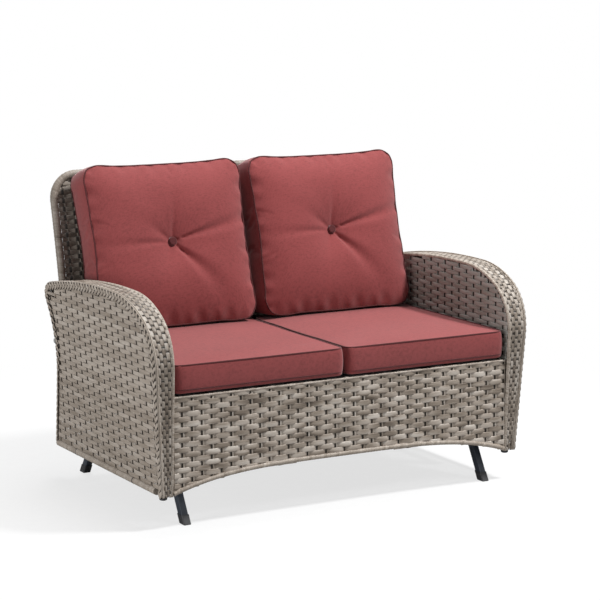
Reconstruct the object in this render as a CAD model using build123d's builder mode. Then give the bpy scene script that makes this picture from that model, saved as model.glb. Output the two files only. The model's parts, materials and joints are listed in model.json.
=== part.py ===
"""A two-seat wicker glider: a woven steel-framed loveseat that hangs on four
links from a dark splayed base, with two boxed seat cushions and two buttoned
back cushions.

X runs to the right of someone facing the seat, Y runs to the back, Z runs up.
The origin lies on the floor under the middle of the whole piece.
"""

import os
from math import asin, atan2, cos, degrees, radians, sin, tan

from build123d import *

os.makedirs("parts", exist_ok=True)

# Overall sizes
overall_width = 1270.0
overall_depth = 810.0
frame_height = 938.0
rim_height = 378.0
half_width = overall_width / 2
half_depth = overall_depth / 2

# Clearances, cutting overrun and the turn that keeps a tube's seam clear of its bolt holes
seat_gap = 0.3
cushion_gap = 2.4
cushion_side_gap = 1.8
running_gap = 0.05
bolt_gap = 0.2
overrun = 20.0
seam_turn = 45.0

# Wicker
weave_thickness = 8.0
skin_thickness = 6.0

# Arm: outline seen from the side
arm_flare = 33.0
arm_foot_width = 41.0
post_bottom = 93.0
bulge_height = 461.0
front_lean = 2.4
arm_front_radius = 165.0
arm_shoulder_radius = 330.0
arm_end_setback = 87.75
arm_end_radius = 36.0
shoulder_heading = 30.0
crown_heading = 2.0
arm_end_heading = -11.0
rear_slant_heading = -118.0
rear_post_heading = -78.0
rear_slant_length = 35.0
waist_radius = 292.0

# Arm: tubes at its two edges, its steel post and its bottom rail
loop_radius = 8.0
edge_radius = 5.0
edge_proud = 1.0
post_radius = 12.5
post_height = 350.0
tube_wall = 1.5
rail_radius = 11.0
rail_height = 105.0
cap_radius = 11.5
cap_drop = 12.0
cap_plug = 25.0
cap_edge = 4.0
arm_end_corner = 22.0

# Back frame
back_tube_inset = 19.0
back_tube_radius = 12.0
back_corner_radius = 80.0
back_bow = 1.95
back_post_bottom = 345.0
back_panel_bottom = 338.0

# Seat deck
deck_tube = 20.0
deck_wall = 1.5
deck_corner = 2.0
strap_thickness = 1.5
strap_width = 50.0
cross_strap_count = 7
deep_strap_count = 12
beam_gap = 3.0
beam_plug = 25.0

# Front and rear skirts
rim_setback = 15.0
arch_height = 146.0
arch_middle_share = 0.7
arch_middle_rise = 14.0
arch_end_rise = 52.0
arch_rod_radius = 7.0
arch_rod_gap = 0.6
rear_skirt_top = 342.0
rear_skirt_bottom = 172.0
rear_skirt_rise = 22.0
skirt_edge_round = 3.5

# Base: two trapezoid side frames and two stretchers
leg_depth = 25.0
leg_width = 20.0
leg_wall = 1.5
front_foot_setback = 52.0
rear_foot_setback = 62.0
front_leg_slope = 29.6
rear_leg_slope = 33.0
top_bar_height = 292.0
stretcher_height = 185.0
stretcher_radius = 12.5
foot_height = 26.0
foot_wall = 2.0
foot_floor = 3.0
foot_chamfer = 1.5

# Glide links
front_pivot_inset = 47.12
rear_pivot_inset = 58.37
link_length = 165.0
link_width = 34.0
link_thickness = 5.0
link_waist = 24.0
bar_washer = 3.0
runner_washer = 7.0
bearing_radius = 11.0
bearing_width = 9.0
bearing_lip = 1.5
bearing_lip_width = 1.0
pivot_radius = 4.0
bolt_head_radius = 7.0
bolt_head_height = 6.0
nut_height = 4.0
collar_radius = 6.5
runner_height = 25.0
runner_end = 22.0

# Seat cushions
seat_cushion_setback = 207.0
seat_boxing = 88.0
seat_crown = 10.0
cushion_overhang = 2.0
cushion_corner = 26.0
seat_draw = 4.0

# Back cushions
back_cushion_rise = 40.0
back_cushion_gap = 8.4
back_cushion_lean = 1.4
back_boxing = 105.0
front_crown = 34.0
rear_crown = 36.0
back_draw = 9.0
back_cushion_corner = 38.0
tuft_radius = 95.0
tuft_depth = 26.0
button_radius = 13.0
button_height = 9.0
button_edge = 3.5
button_gap = 0.5
crown_mid_share = 0.72
crown_top_share = 0.34
crown_mid_rise_share = 0.74
seat_crown_fall = 1.5

# Frame bolts
frame_bolt_radius = 4.0
frame_bolt_head = 7.0
frame_bolt_head_height = 4.0
frame_bolt_bite = 15.0
spacer_radius = 7.0
back_bolt_height = 434.0

# Worked out from the sizes above
post_outer = half_width - arm_flare
seat_half_width = post_outer - arm_foot_width
back_half_width = post_outer - back_tube_inset
edge_place = seat_half_width + edge_radius
side_beam_place = seat_half_width - deck_tube / 2 - beam_gap
runner_inner = side_beam_place - deck_tube / 2
bearing_outer = runner_inner - runner_washer
bearing_inner = bearing_outer - bearing_width
bar_outer = bearing_inner - bar_washer
base_half_width = bar_outer - leg_width / 2
skirt_front = half_depth - rim_setback
front_foot = half_depth - front_foot_setback
rear_foot = half_depth - rear_foot_setback
front_pivot = front_foot - top_bar_height * tan(radians(front_leg_slope)) - front_pivot_inset
rear_pivot = rear_foot - top_bar_height * tan(radians(rear_leg_slope)) - rear_pivot_inset
arm_centre = arm_front_radius + edge_proud - half_depth
deck_top = rim_height - 2 * strap_thickness
deck_centre = deck_top - deck_tube / 2
deck_bottom = deck_top - deck_tube
deck_front = weave_thickness + seat_gap + deck_tube / 2 - skirt_front
post_place = (seat_half_width + post_outer) / 2
top_rail_depth = half_depth - back_tube_radius
loop_inset = loop_radius - edge_proud
edge_inset = edge_radius - edge_proud
lower_pivot_height = top_bar_height - link_length

# The arm's long crown ends at its set-back from the rear, so its radius follows the depth
shoulder_sine = sin(radians(shoulder_heading))
crown_sine = sin(radians(crown_heading))
nose_reach = arm_front_radius * shoulder_sine
shoulder_reach = arm_shoulder_radius * (shoulder_sine - crown_sine)
crown_start = arm_centre - nose_reach + shoulder_reach
crown_reach = half_depth - arm_end_setback - crown_start
arm_crown_radius = crown_reach / (crown_sine - sin(radians(arm_end_heading)))


def save(piece, name):
    """Names a finished piece and writes it to its own file."""
    piece.part.label = name
    export_step(piece.part, f"parts/{name}.step")


def both_sides(*pieces):
    """Gathers right-hand pieces with their mirror images on the left."""
    with BuildPart() as pairs:
        for piece in pieces:
            add(piece.part)
        mirror(about=Plane.YZ)
    return pairs


def save_pair(piece, name):
    """Writes a right-hand piece and its mirror image for the left."""
    save(piece, f"right_{name}")
    with BuildPart() as other:
        mirror(piece.part, about=Plane.YZ)
    save(other, f"left_{name}")


def facing_right(x, y, z):
    """A plane at a point, with its normal to the right."""
    return Plane(origin=(x, y, z), x_dir=(0, 1, 0), z_dir=(1, 0, 0))


def facing_back(x, y, z):
    """A plane at a point, with its normal to the back."""
    return Plane(origin=(x, y, z), x_dir=(-1, 0, 0), z_dir=(0, 1, 0))


def drill(plane, radius, depth):
    """Cuts a hole through the piece being built, centred on a plane."""
    with Locations(plane):
        Cylinder(radius, depth, mode=Mode.SUBTRACT)


def round_bar(path, radius, wall=0.0):
    """A round rod swept along a path, or a tube if it has a wall."""
    with BuildPart() as bar:
        with BuildSketch(Plane(origin=path @ 0, z_dir=path % 0)):
            with Locations(Rotation(0, 0, seam_turn)):
                Circle(radius)
                if wall:
                    Circle(radius - wall, mode=Mode.SUBTRACT)
        sweep(path=path)
    return bar


def flat_tube(plane, length, width, height, wall, plug=0.0):
    """A rectangular tube along a plane's normal, with a plug welded in each end."""
    with BuildPart() as tube:
        with BuildSketch(plane):
            RectangleRounded(width, height, deck_corner)
        extrude(amount=length)
        with BuildSketch(plane.offset(plug)):
            Rectangle(width - 2 * wall, height - 2 * wall)
        extrude(amount=length - 2 * plug, mode=Mode.SUBTRACT)
    return tube


def bolt(plane, grip, sizes, nut=0.0, collar=None):
    """A bolt along a plane's normal: its head lies before the plane, its nut past the grip.

    sizes holds its radius, head radius and head height, and collar its radius, start and length.
    """
    radius, head_radius, head_height = sizes
    with BuildPart() as fastener:
        with BuildSketch(plane.offset(-head_height)):
            Circle(head_radius)
        extrude(amount=head_height)
        with BuildSketch(plane):
            Circle(radius)
        extrude(amount=grip)
        if collar:
            collar_width, collar_start, collar_length = collar
            with BuildSketch(plane.offset(collar_start)):
                Circle(collar_width)
            extrude(amount=collar_length)
        if nut:
            with BuildSketch(plane.offset(grip)):
                RegularPolygon(head_radius, 6)
            extrude(amount=nut)
    return fastener


def arm_front_foot(inset):
    """The two ends of the arm's straight front edge, inset from its outline."""
    reach = arm_front_radius - inset
    top_y = arm_centre - reach * cos(radians(front_lean))
    top_z = bulge_height - reach * sin(radians(front_lean))
    drop = top_z - post_bottom
    return (top_y + drop * tan(radians(front_lean)), post_bottom), (top_y, top_z)


def arm_run(inset):
    """Draws the arm's upper edge: up the front, round it and back along the top."""
    foot, bulge = arm_front_foot(inset)
    front = Line(foot, bulge)
    turn = 90 + front_lean - shoulder_heading
    nose = JernArc(front @ 1, front % 1, arm_front_radius - inset, -turn)
    shoulder_turn = shoulder_heading - crown_heading
    shoulder = JernArc(nose @ 1, nose % 1, arm_shoulder_radius - inset, -shoulder_turn)
    crown_turn = crown_heading - arm_end_heading
    return JernArc(shoulder @ 1, shoulder % 1, arm_crown_radius - inset, -crown_turn)


def arm_rear_run(crown, inset, side, bottom):
    """Draws on from the arm's top, round its rear end and down the concave rear post."""
    end_turn = arm_end_heading - rear_slant_heading
    end = JernArc(crown @ 1, crown % 1, arm_end_radius - inset, -end_turn)
    slant = Line(end @ 1, (end @ 1) + (end % 1) * rear_slant_length)
    waist_turn = rear_post_heading - rear_slant_heading
    waist = JernArc(slant @ 1, slant % 1, waist_radius + inset, waist_turn)
    drop = (side.to_local_coords(waist @ 1).Y - bottom) / -(waist % 1).dot(side.y_dir)
    return Line(waist @ 1, (waist @ 1) + (waist % 1) * drop)


with BuildLine() as flat_loop:
    arm_run(loop_inset)
loop_top = flat_loop.line.bounding_box().max.Y

# The right arm leans outward, so its outer loop lies in a tilted side plane
side_lean = degrees(asin((half_width - post_outer) / (loop_top - post_bottom)))
right_side = Plane(
    origin=(post_outer - loop_radius - post_bottom * sin(radians(side_lean)), 0, 0),
    x_dir=(0, 1, 0),
    z_dir=(cos(radians(side_lean)), 0, -sin(radians(side_lean))),
)

# Side loop: one bent tube round each side, with its bottom rail welded on
with BuildLine(right_side) as loop_line:
    loop_crown = arm_run(loop_inset)
    loop_tail = arm_rear_run(loop_crown, loop_inset, right_side, rail_height)
loop_path = loop_line.wire()
loop_end = loop_tail @ 1
crown_end = loop_crown @ 1

# The loop is bolted to the back post where its concave waist passes the bolt's height
waist_end = right_side.to_local_coords(loop_tail @ 0)
waist_reach = waist_radius + loop_inset
waist_centre_depth = waist_end.X - waist_reach * sin(radians(rear_post_heading))
waist_centre_height = waist_end.Y + waist_reach * cos(radians(rear_post_heading))
waist_rise = back_bolt_height / cos(radians(side_lean)) - waist_centre_height
back_bolt_depth = waist_centre_depth - (waist_reach**2 - waist_rise**2) ** 0.5

# The back frame's top corners lie in a reclined plane. Its posts curve below it, through the bolt
corner_rise = back_corner_radius
top_rail_height = frame_height - back_tube_radius
back_slant = atan2(top_rail_depth - back_bolt_depth, top_rail_height - back_bolt_height)
back_recline = degrees(back_slant) + back_bow
back_sine = sin(radians(back_recline))
back_cosine = cos(radians(back_recline))
back_bend_depth = top_rail_depth - corner_rise * back_sine
back_bend_height = top_rail_height - corner_rise * back_cosine
back_plane = Plane(
    origin=(0, back_bend_depth, back_bend_height),
    x_dir=(1, 0, 0),
    z_dir=(0, -back_cosine, back_sine),
)
bolt_ahead = back_bolt_depth - back_bend_depth
bolt_below = back_bolt_height - back_bend_height
bolt_across = bolt_ahead * back_cosine - bolt_below * back_sine
back_bend_radius = (bolt_ahead**2 + bolt_below**2) / (2 * bolt_across)
back_centre_depth = back_bend_depth + back_bend_radius * back_cosine
back_centre_height = back_bend_height - back_bend_radius * back_sine


def back_depth(z, ahead=0.0):
    """How deep the back post's centre line lies at a height, or a line ahead of it."""
    reach = back_bend_radius + ahead
    return back_centre_depth - (reach**2 - (z - back_centre_height) ** 2) ** 0.5


def loop_place(z):
    """How far out the side loop's centre line lies at a height."""
    return right_side.origin.X + z * tan(radians(side_lean))


foot_depth = arm_front_foot(loop_inset)[0][0]
post_foot = foot_depth + loop_radius + seat_gap + post_radius
rail_start = post_foot + post_radius + seat_gap
back_post_outer = back_half_width + back_tube_radius
back_bolt_plane = facing_right(back_post_outer, back_bolt_depth, back_bolt_height)
bolt_hole_radius = frame_bolt_radius + bolt_gap
with BuildPart() as side_loop:
    with BuildSketch(Plane(origin=loop_path @ 0, z_dir=loop_path % 0)):
        Circle(loop_radius)
    sweep(path=loop_path)
    with BuildSketch(facing_back(loop_end.X, rail_start, loop_end.Z)):
        Circle(rail_radius)
    extrude(amount=loop_end.Y + loop_radius - rail_start)
    drill(back_bolt_plane, bolt_hole_radius, half_width)
save_pair(side_loop, "side_loop")

# Inner edge of the arm: a thin rod beside the seat that stops at the back panel
half_weave = weave_thickness / 2
with BuildLine(Plane.YZ.offset(edge_place)) as edge_line:
    arm_run(edge_inset)
edge_end = back_depth(crown_end.Z - edge_radius, half_weave + seat_gap)
with BuildPart() as arm_edge:
    add(round_bar(edge_line.wire(), edge_radius).part)
    split(bisect_by=Plane.XZ.offset(-edge_end), keep=Keep.TOP)
save_pair(arm_edge, "arm_inner_edge")

# Woven band over the arm, between its two edges and notched round the back post
band_place = seat_half_width + 2 * edge_radius + seat_gap
notch_width = back_post_outer + edge_proud - band_place
notch_front = back_depth(crown_end.Z) - back_tube_radius - edge_proud
with BuildPart() as arm_band:
    with BuildSketch(Plane.YZ.offset(band_place)):
        with BuildLine():
            band_crown = arm_run(half_weave)
            band_turn = (arm_end_heading - rear_slant_heading) / 2
            JernArc(band_crown @ 1, band_crown % 1, arm_end_radius - half_weave, -band_turn)
        trace(line_width=weave_thickness)
    extrude(amount=half_width - band_place)
    split(bisect_by=right_side.offset(-loop_radius - seat_gap), keep=Keep.BOTTOM)
    with BuildSketch(Plane.XY.offset(bulge_height)):
        with Locations((band_place, notch_front)):
            Rectangle(2 * notch_width, half_depth, align=(Align.CENTER, Align.MIN))
    extrude(amount=frame_height - bulge_height, mode=Mode.SUBTRACT)
save_pair(arm_band, "arm_band")

# Outer side skin, woven inside the loop and down to the rail
skin_inset = loop_inset + loop_radius + seat_gap
skin_bottom = rail_height + rail_radius + seat_gap
with BuildPart() as side_skin:
    with BuildSketch(right_side.offset(edge_proud)):
        with BuildLine():
            skin_crown = arm_run(skin_inset)
            skin_tail = arm_rear_run(skin_crown, skin_inset, Plane.XY, post_bottom)
            Line(skin_tail @ 1, arm_front_foot(skin_inset)[0])
        make_face()
        with Locations((0, skin_bottom)):
            Rectangle(overall_depth, half_depth, align=(Align.CENTER, Align.MAX), mode=Mode.SUBTRACT)
    extrude(amount=skin_thickness)
save_pair(side_skin, "side_skin")

# Inner side skin, between the arm and the cushions
inner_inset = edge_inset + edge_radius + seat_gap
inner_ahead = half_weave + seat_gap
with BuildPart() as inner_skin:
    with BuildSketch(Plane.YZ.offset(seat_half_width)):
        with BuildLine():
            inner_crown = arm_run(inner_inset)
            Line(inner_crown @ 1, (half_depth, post_bottom))
            Line((half_depth, post_bottom), arm_front_foot(inner_inset)[0])
        make_face()
        with Locations((0, deck_top + seat_gap)):
            Rectangle(overall_depth, half_depth, align=(Align.CENTER, Align.MAX), mode=Mode.SUBTRACT)
        with BuildLine():
            low = (back_depth(post_bottom, inner_ahead), post_bottom)
            middle = (back_depth(bulge_height, inner_ahead), bulge_height)
            high = (back_depth(frame_height, inner_ahead), frame_height)
            ThreePointArc(low, middle, high)
            Polyline(high, (half_depth, frame_height), (half_depth, post_bottom), low)
        make_face(mode=Mode.SUBTRACT)
    extrude(amount=skin_thickness)
save_pair(inner_skin, "inner_skin")

# Steel front post with a plastic cap plugged into its foot
post_plane = Plane(
    origin=(post_place, post_foot, post_bottom),
    x_dir=(1, 0, 0),
    z_dir=(0, -sin(radians(front_lean)), cos(radians(front_lean))),
)
post_bolt_plane = facing_right(post_place, deck_front, deck_centre)
with BuildPart() as front_post:
    with BuildSketch(post_plane):
        Circle(post_radius)
        Circle(post_radius - tube_wall, mode=Mode.SUBTRACT)
    extrude(amount=post_height)
    drill(post_bolt_plane, bolt_hole_radius, 3 * post_radius)
save_pair(front_post, "front_post")

with BuildPart() as post_cap:
    with BuildSketch(post_plane.offset(-cap_drop)):
        Circle(cap_radius)
    extrude(amount=cap_drop)
    fillet(post_cap.faces().sort_by(Axis.Z)[0].edges(), cap_edge)
    with BuildSketch(post_plane):
        Circle(post_radius - tube_wall - running_gap)
    extrude(amount=cap_plug)
save(both_sides(post_cap), "post_caps")


def on_back(x, rise):
    """A point in the reclined plane that holds the back frame's top corners."""
    return back_plane.from_local_coords(Vector(x, rise, 0))


def post_point(z):
    """A point on the right back post's curved centre line."""
    return back_half_width, back_depth(z), z


# Back frame: one tube bent into two posts and a top rail
corner_start = back_half_width - corner_rise
corner_reach = corner_rise * cos(radians(45))
back_middle_height = (back_post_bottom + back_bend_height) / 2
post_ends = post_point(back_post_bottom), post_point(back_bend_height)
with BuildLine() as back_line:
    right_post = ThreePointArc(post_ends[0], post_point(back_middle_height), post_ends[1])
    corner_middle = on_back(corner_start + corner_reach, corner_reach)
    right_corner = ThreePointArc(post_ends[1], corner_middle, on_back(corner_start, corner_rise))
    right_top = Line(right_corner @ 1, on_back(0, corner_rise))
    mirror([right_post, right_corner, right_top], about=Plane.YZ)
with BuildPart() as back_frame:
    add(round_bar(back_line.wire(), back_tube_radius, tube_wall).part)
    for side in (-1, 1):
        rear_bolt_plane = facing_back(side * back_half_width, back_depth(deck_centre), deck_centre)
        drill(rear_bolt_plane, bolt_hole_radius, 4 * back_tube_radius)
        side_bolt_plane = facing_right(side * back_post_outer, back_bolt_depth, back_bolt_height)
        drill(side_bolt_plane, bolt_hole_radius, 2 * back_tube_radius)
save(back_frame, "back_frame")

# Woven back panel inside the frame, rounded at its top corners
panel_radius = back_corner_radius - back_tube_radius - seat_gap
panel_half_width = back_half_width - back_tube_radius - seat_gap
panel_reach = back_bend_height - back_panel_bottom
with BuildPart() as back_panel:
    with BuildSketch(Plane.YZ.offset(-panel_half_width)):
        with BuildLine():
            panel_foot = (back_depth(back_panel_bottom), back_panel_bottom)
            panel_middle_height = (back_panel_bottom + back_bend_height) / 2
            panel_middle = (back_depth(panel_middle_height), panel_middle_height)
            panel_bend = (back_bend_depth, back_bend_height)
            curve = ThreePointArc(panel_foot, panel_middle, panel_bend)
            Line(curve @ 1, (curve @ 1) + (curve % 1) * back_corner_radius)
        trace(line_width=weave_thickness)
    extrude(amount=2 * panel_half_width)
    with BuildSketch(back_plane.offset(-panel_reach)):
        with Locations((0, panel_radius)):
            RectangleRounded(
                2 * panel_half_width,
                2 * (panel_reach + panel_radius),
                panel_radius,
                align=(Align.CENTER, Align.MAX),
            )
    extrude(amount=2 * panel_reach, mode=Mode.INTERSECT)
save(back_panel, "back_panel")

# Seat deck: front and rear rails, three beams and two layers of webbing
front_rail_half = post_place - post_radius - seat_gap
rear_rail_half = back_post_outer
post_slant_radius = back_tube_radius / cos(radians(back_recline))
rear_rail_face = back_depth(deck_bottom) - post_slant_radius - seat_gap
deck_rear = rear_rail_face - deck_tube / 2
beam_front = deck_front + deck_tube / 2 + seat_gap
beam_length = deck_rear - deck_tube / 2 - seat_gap - beam_front
deck_size = (deck_tube, deck_tube, deck_wall)


def deck_rail(half, depth, hole_planes):
    """A square rail across the deck with its two bolt holes."""
    rail = flat_tube(facing_right(-half, depth, deck_centre), 2 * half, *deck_size, beam_plug)
    with BuildPart() as drilled:
        add(rail.part)
        for plane in hole_planes:
            drill(plane, bolt_hole_radius, 2 * frame_bolt_bite)
    return drilled


front_holes = [facing_right(side * front_rail_half, deck_front, deck_centre) for side in (-1, 1)]
rear_holes = [facing_back(side * back_half_width, rear_rail_face, deck_centre) for side in (-1, 1)]
save(deck_rail(front_rail_half, deck_front, front_holes), "front_deck_rail")
save(deck_rail(rear_rail_half, deck_rear, rear_holes), "rear_deck_rail")

side_beam = flat_tube(
    facing_back(side_beam_place, beam_front, deck_centre), beam_length, *deck_size, beam_plug
)
save_pair(side_beam, "deck_beam")
centre_beam = flat_tube(
    facing_back(0, beam_front, deck_centre), beam_length, *deck_size, beam_plug
)
save(centre_beam, "centre_deck_beam")

strap_half = side_beam_place + deck_tube / 2
strap_front = deck_front - deck_tube / 2
strap_rear = deck_rear + deck_tube / 2
strap_centre = (strap_front + strap_rear) / 2
strap_depth = strap_rear - strap_front
with BuildPart() as cross_straps:
    with BuildSketch(Plane.XY.offset(deck_top)):
        with Locations((0, strap_centre)):
            with GridLocations(0, strap_depth / cross_strap_count, 1, cross_strap_count):
                Rectangle(2 * strap_half, strap_width)
    extrude(amount=strap_thickness)
save(cross_straps, "cross_straps")

with BuildPart() as deep_straps:
    with BuildSketch(Plane.XY.offset(deck_top + strap_thickness)):
        with Locations((0, strap_centre)):
            with GridLocations(2 * strap_half / deep_strap_count, 0, deep_strap_count, 1):
                Rectangle(strap_width, strap_depth)
    extrude(amount=strap_thickness)
save(deep_straps, "deep_straps")


def arch_run(half_span, raised):
    """Draws the front skirt's arch: a flat middle arc with a steeper arc at each end."""
    middle = half_span * arch_middle_share
    side_z = arch_height - arch_middle_rise + raised
    end_z = arch_height - arch_end_rise + raised
    top = ThreePointArc((-middle, side_z), (0, arch_height + raised), (middle, side_z))
    right_end = TangentArc(top @ 1, (half_span, end_z), tangent=top % 1)
    left_end = mirror(right_end, about=Plane.YZ)
    return (-half_span, end_z), (half_span, end_z)


# Front skirt under the seat's rim, over an arched rod
skirt_half = seat_half_width - edge_proud / 2
rod_half = skirt_half - arch_rod_radius / 2
skirt_raise = 2 * arch_rod_radius + arch_rod_gap
front_skirt_plane = Plane.XZ.offset(skirt_front - weave_thickness)
with BuildLine(front_skirt_plane.offset(half_weave)) as arch_line:
    arch_run(rod_half, arch_rod_radius)
save(round_bar(arch_line.wire(), arch_rod_radius), "front_arch_rod")

with BuildPart() as front_skirt:
    with BuildSketch(front_skirt_plane):
        with BuildLine():
            left_foot, right_foot = arch_run(skirt_half, skirt_raise)
            rim_ends = (skirt_half, rim_height), (-skirt_half, rim_height)
            Polyline(right_foot, *rim_ends, left_foot)
        make_face()
    extrude(amount=weave_thickness)
    rim = front_skirt.faces().sort_by(Axis.Z)[-1]
    fillet(rim.edges().filter_by(Axis.X), skirt_edge_round)
save(front_skirt, "front_skirt")

# Rear skirt between the loops' rear posts, over a rod of its own
rear_rise = 90 + rear_post_heading
rear_skirt_plane = Plane(
    origin=(0, loop_end.Y, rail_height),
    x_dir=(1, 0, 0),
    z_dir=(0, -cos(radians(rear_rise)), -sin(radians(rear_rise))),
)


def rear_corner(z, inset):
    """A point beside the right loop's rear post, in the rear skirt's own plane."""
    return loop_place(z) - loop_radius - seat_gap - inset, (z - rail_height) / cos(radians(rear_rise))


def rear_arch(raised, inset):
    """Draws the rear skirt's lower edge and returns its two ends."""
    end_x, end_y = rear_corner(rear_skirt_bottom + raised, inset)
    ThreePointArc((-end_x, end_y), (0, end_y + rear_skirt_rise), (end_x, end_y))
    return (-end_x, end_y), (end_x, end_y)


with BuildLine(rear_skirt_plane) as rear_arch_line:
    rear_arch(arch_rod_radius, arch_rod_radius / 2)
save(round_bar(rear_arch_line.wire(), arch_rod_radius), "rear_arch_rod")

with BuildPart() as rear_skirt:
    with BuildSketch(rear_skirt_plane.offset(-half_weave)):
        with BuildLine():
            rear_left, rear_right = rear_arch(skirt_raise, 0)
            top_x, top_y = rear_corner(rear_skirt_top, 0)
            Polyline(rear_right, (top_x, top_y), (-top_x, top_y), rear_left)
        make_face()
    extrude(amount=weave_thickness)
save(rear_skirt, "rear_skirt")


def leg_frame(foot_depth, lean):
    """A plane on the floor under a leg, with its normal up along the leg."""
    z_dir = (0, sin(radians(lean)), cos(radians(lean)))
    return Plane(origin=(base_half_width, foot_depth, 0), x_dir=(1, 0, 0), z_dir=z_dir)


def leg_shift(height, lean):
    """How far a leg's centre line moves to the back between the floor and a height."""
    return height * tan(radians(lean))


# Base: on each side two splayed legs under a top bar, with stretchers across
bar_bottom = top_bar_height - leg_depth / 2
front_frame = leg_frame(-front_foot, front_leg_slope)
rear_frame = leg_frame(rear_foot, -rear_leg_slope)
leg_reach = 2 * top_bar_height


def leg_block(frame, margin, low, high):
    """A solid length of leg, with a margin round it, cut level at two heights."""
    with BuildPart() as block:
        with BuildSketch(frame.offset(-overrun)):
            RectangleRounded(leg_width + 2 * margin, leg_depth + 2 * margin, deck_corner + margin)
        extrude(amount=leg_reach)
        split(bisect_by=Plane.XY.offset(low), keep=Keep.TOP)
        split(bisect_by=Plane.XY.offset(high), keep=Keep.BOTTOM)
    return block


def leg(frame):
    """A hollow leg, cut level over the foot's floor and under the top bar."""
    low = foot_floor + running_gap
    high = bar_bottom - seat_gap
    outside = leg_block(frame, 0, low, high)
    inside = leg_block(frame, -leg_wall, low - overrun, high + overrun)
    with BuildPart() as tube:
        add(outside.part)
        add(inside.part, mode=Mode.SUBTRACT)
    return tube


def foot(frame):
    """A plastic shoe round a leg's lower end, level on the floor."""
    outside = leg_block(frame, foot_wall, 0, foot_height)
    pocket = leg_block(frame, running_gap, foot_floor, foot_height + overrun)
    with BuildPart() as shoe:
        add(outside.part)
        chamfer(shoe.faces().sort_by(Axis.Z)[0].edges(), foot_chamfer)
        add(pocket.part, mode=Mode.SUBTRACT)
    return shoe


save_pair(leg(front_frame), "front_leg")
save_pair(leg(rear_frame), "rear_leg")
save_pair(foot(front_frame), "front_foot")
save_pair(foot(rear_frame), "rear_foot")

bar_start = -front_foot
bar_length = front_foot + rear_foot
pivot_places = (-front_pivot, rear_pivot)
pivot_hole_radius = pivot_radius + bolt_gap
bar_tube = flat_tube(
    facing_back(base_half_width, bar_start, top_bar_height),
    bar_length,
    leg_width,
    leg_depth,
    leg_wall,
)
with BuildPart() as top_bar:
    add(bar_tube.part)
    split(bisect_by=Plane(front_frame.origin, z_dir=front_frame.y_dir).offset(-leg_depth / 2))
    split(
        bisect_by=Plane(rear_frame.origin, z_dir=rear_frame.y_dir).offset(leg_depth / 2),
        keep=Keep.BOTTOM,
    )
    for place in pivot_places:
        drill(facing_right(base_half_width, place, top_bar_height), pivot_hole_radius, 2 * leg_width)
save_pair(top_bar, "top_bar")

stretcher_half = base_half_width - leg_width / 2 - seat_gap


def stretcher(depth):
    """A round tube between the inner faces of the left and right legs."""
    with BuildLine() as line:
        Line((-stretcher_half, depth, stretcher_height), (stretcher_half, depth, stretcher_height))
    return round_bar(line.wire(), stretcher_radius, tube_wall)


front_stretcher_depth = leg_shift(stretcher_height, front_leg_slope) - front_foot
rear_stretcher_depth = rear_foot - leg_shift(stretcher_height, rear_leg_slope)
save(stretcher(front_stretcher_depth), "front_stretcher")
save(stretcher(rear_stretcher_depth), "rear_stretcher")

# Glide: four links hang from the top bars, on ball bearings at both ends
link_inner = bearing_inner + (bearing_width - link_thickness) / 2
pivot_heights = (top_bar_height, lower_pivot_height)


def hanger(depth):
    """A waisted flat link with a bearing seat at each end."""
    upper, lower = pivot_heights
    middle = (upper + lower) / 2
    half = link_width / 2
    waist = link_waist / 2
    with BuildPart() as link:
        with BuildSketch(facing_right(link_inner, depth, 0)):
            with BuildLine():
                rear = ThreePointArc((half, upper), (waist, middle), (half, lower))
                front = ThreePointArc((-half, lower), (-waist, middle), (-half, upper))
                ThreePointArc(rear @ 1, (0, lower - half), front @ 0)
                ThreePointArc(front @ 1, (0, upper + half), rear @ 0)
            make_face()
            with Locations((0, upper), (0, lower)):
                Circle(bearing_radius + running_gap, mode=Mode.SUBTRACT)
        extrude(amount=link_thickness)
    return link


def link_bearings(depth):
    """The two flanged bearings of a link, bored for the pivot bolts."""
    with BuildPart() as bearings:
        for height in pivot_heights:
            with BuildSketch(facing_right(bearing_inner, depth, height)):
                Circle(bearing_radius)
            extrude(amount=bearing_width)
            lip = bearing_lip_width + running_gap
            with BuildSketch(facing_right(link_inner - lip, depth, height)):
                Circle(bearing_radius + bearing_lip)
            extrude(amount=bearing_lip_width)
            drill(facing_right(link_inner, depth, height), pivot_radius + running_gap, overrun)
    return bearings


for name, depth in (("front", -front_pivot), ("rear", rear_pivot)):
    save_pair(hanger(depth), f"{name}_hanger")
    save_pair(link_bearings(depth), f"{name}_hanger_bearings")

bar_inner = base_half_width - leg_width / 2
runner_outer = side_beam_place + deck_tube / 2
pivot_bolt = (pivot_radius, bolt_head_radius, bolt_head_height)


def upper_bolt(depth):
    """A pivot bolt from inside a top bar out through the link's bearing."""
    plane = facing_right(bar_inner, depth, top_bar_height)
    collar = (collar_radius, leg_width, bar_washer)
    return bolt(plane, bearing_outer - bar_inner, pivot_bolt, nut_height, collar)


def lower_bolt(depth):
    """A pivot bolt from outside a runner in through the link's bearing."""
    plane = facing_right(runner_outer, depth, lower_pivot_height).rotated((0, 180, 0))
    collar = (collar_radius, deck_tube, runner_washer)
    return bolt(plane, runner_outer - bearing_inner, pivot_bolt, nut_height, collar)


save(both_sides(*[upper_bolt(depth) for depth in pivot_places]), "upper_pivot_bolts")
save(both_sides(*[lower_bolt(depth) for depth in pivot_places]), "lower_pivot_bolts")

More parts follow.
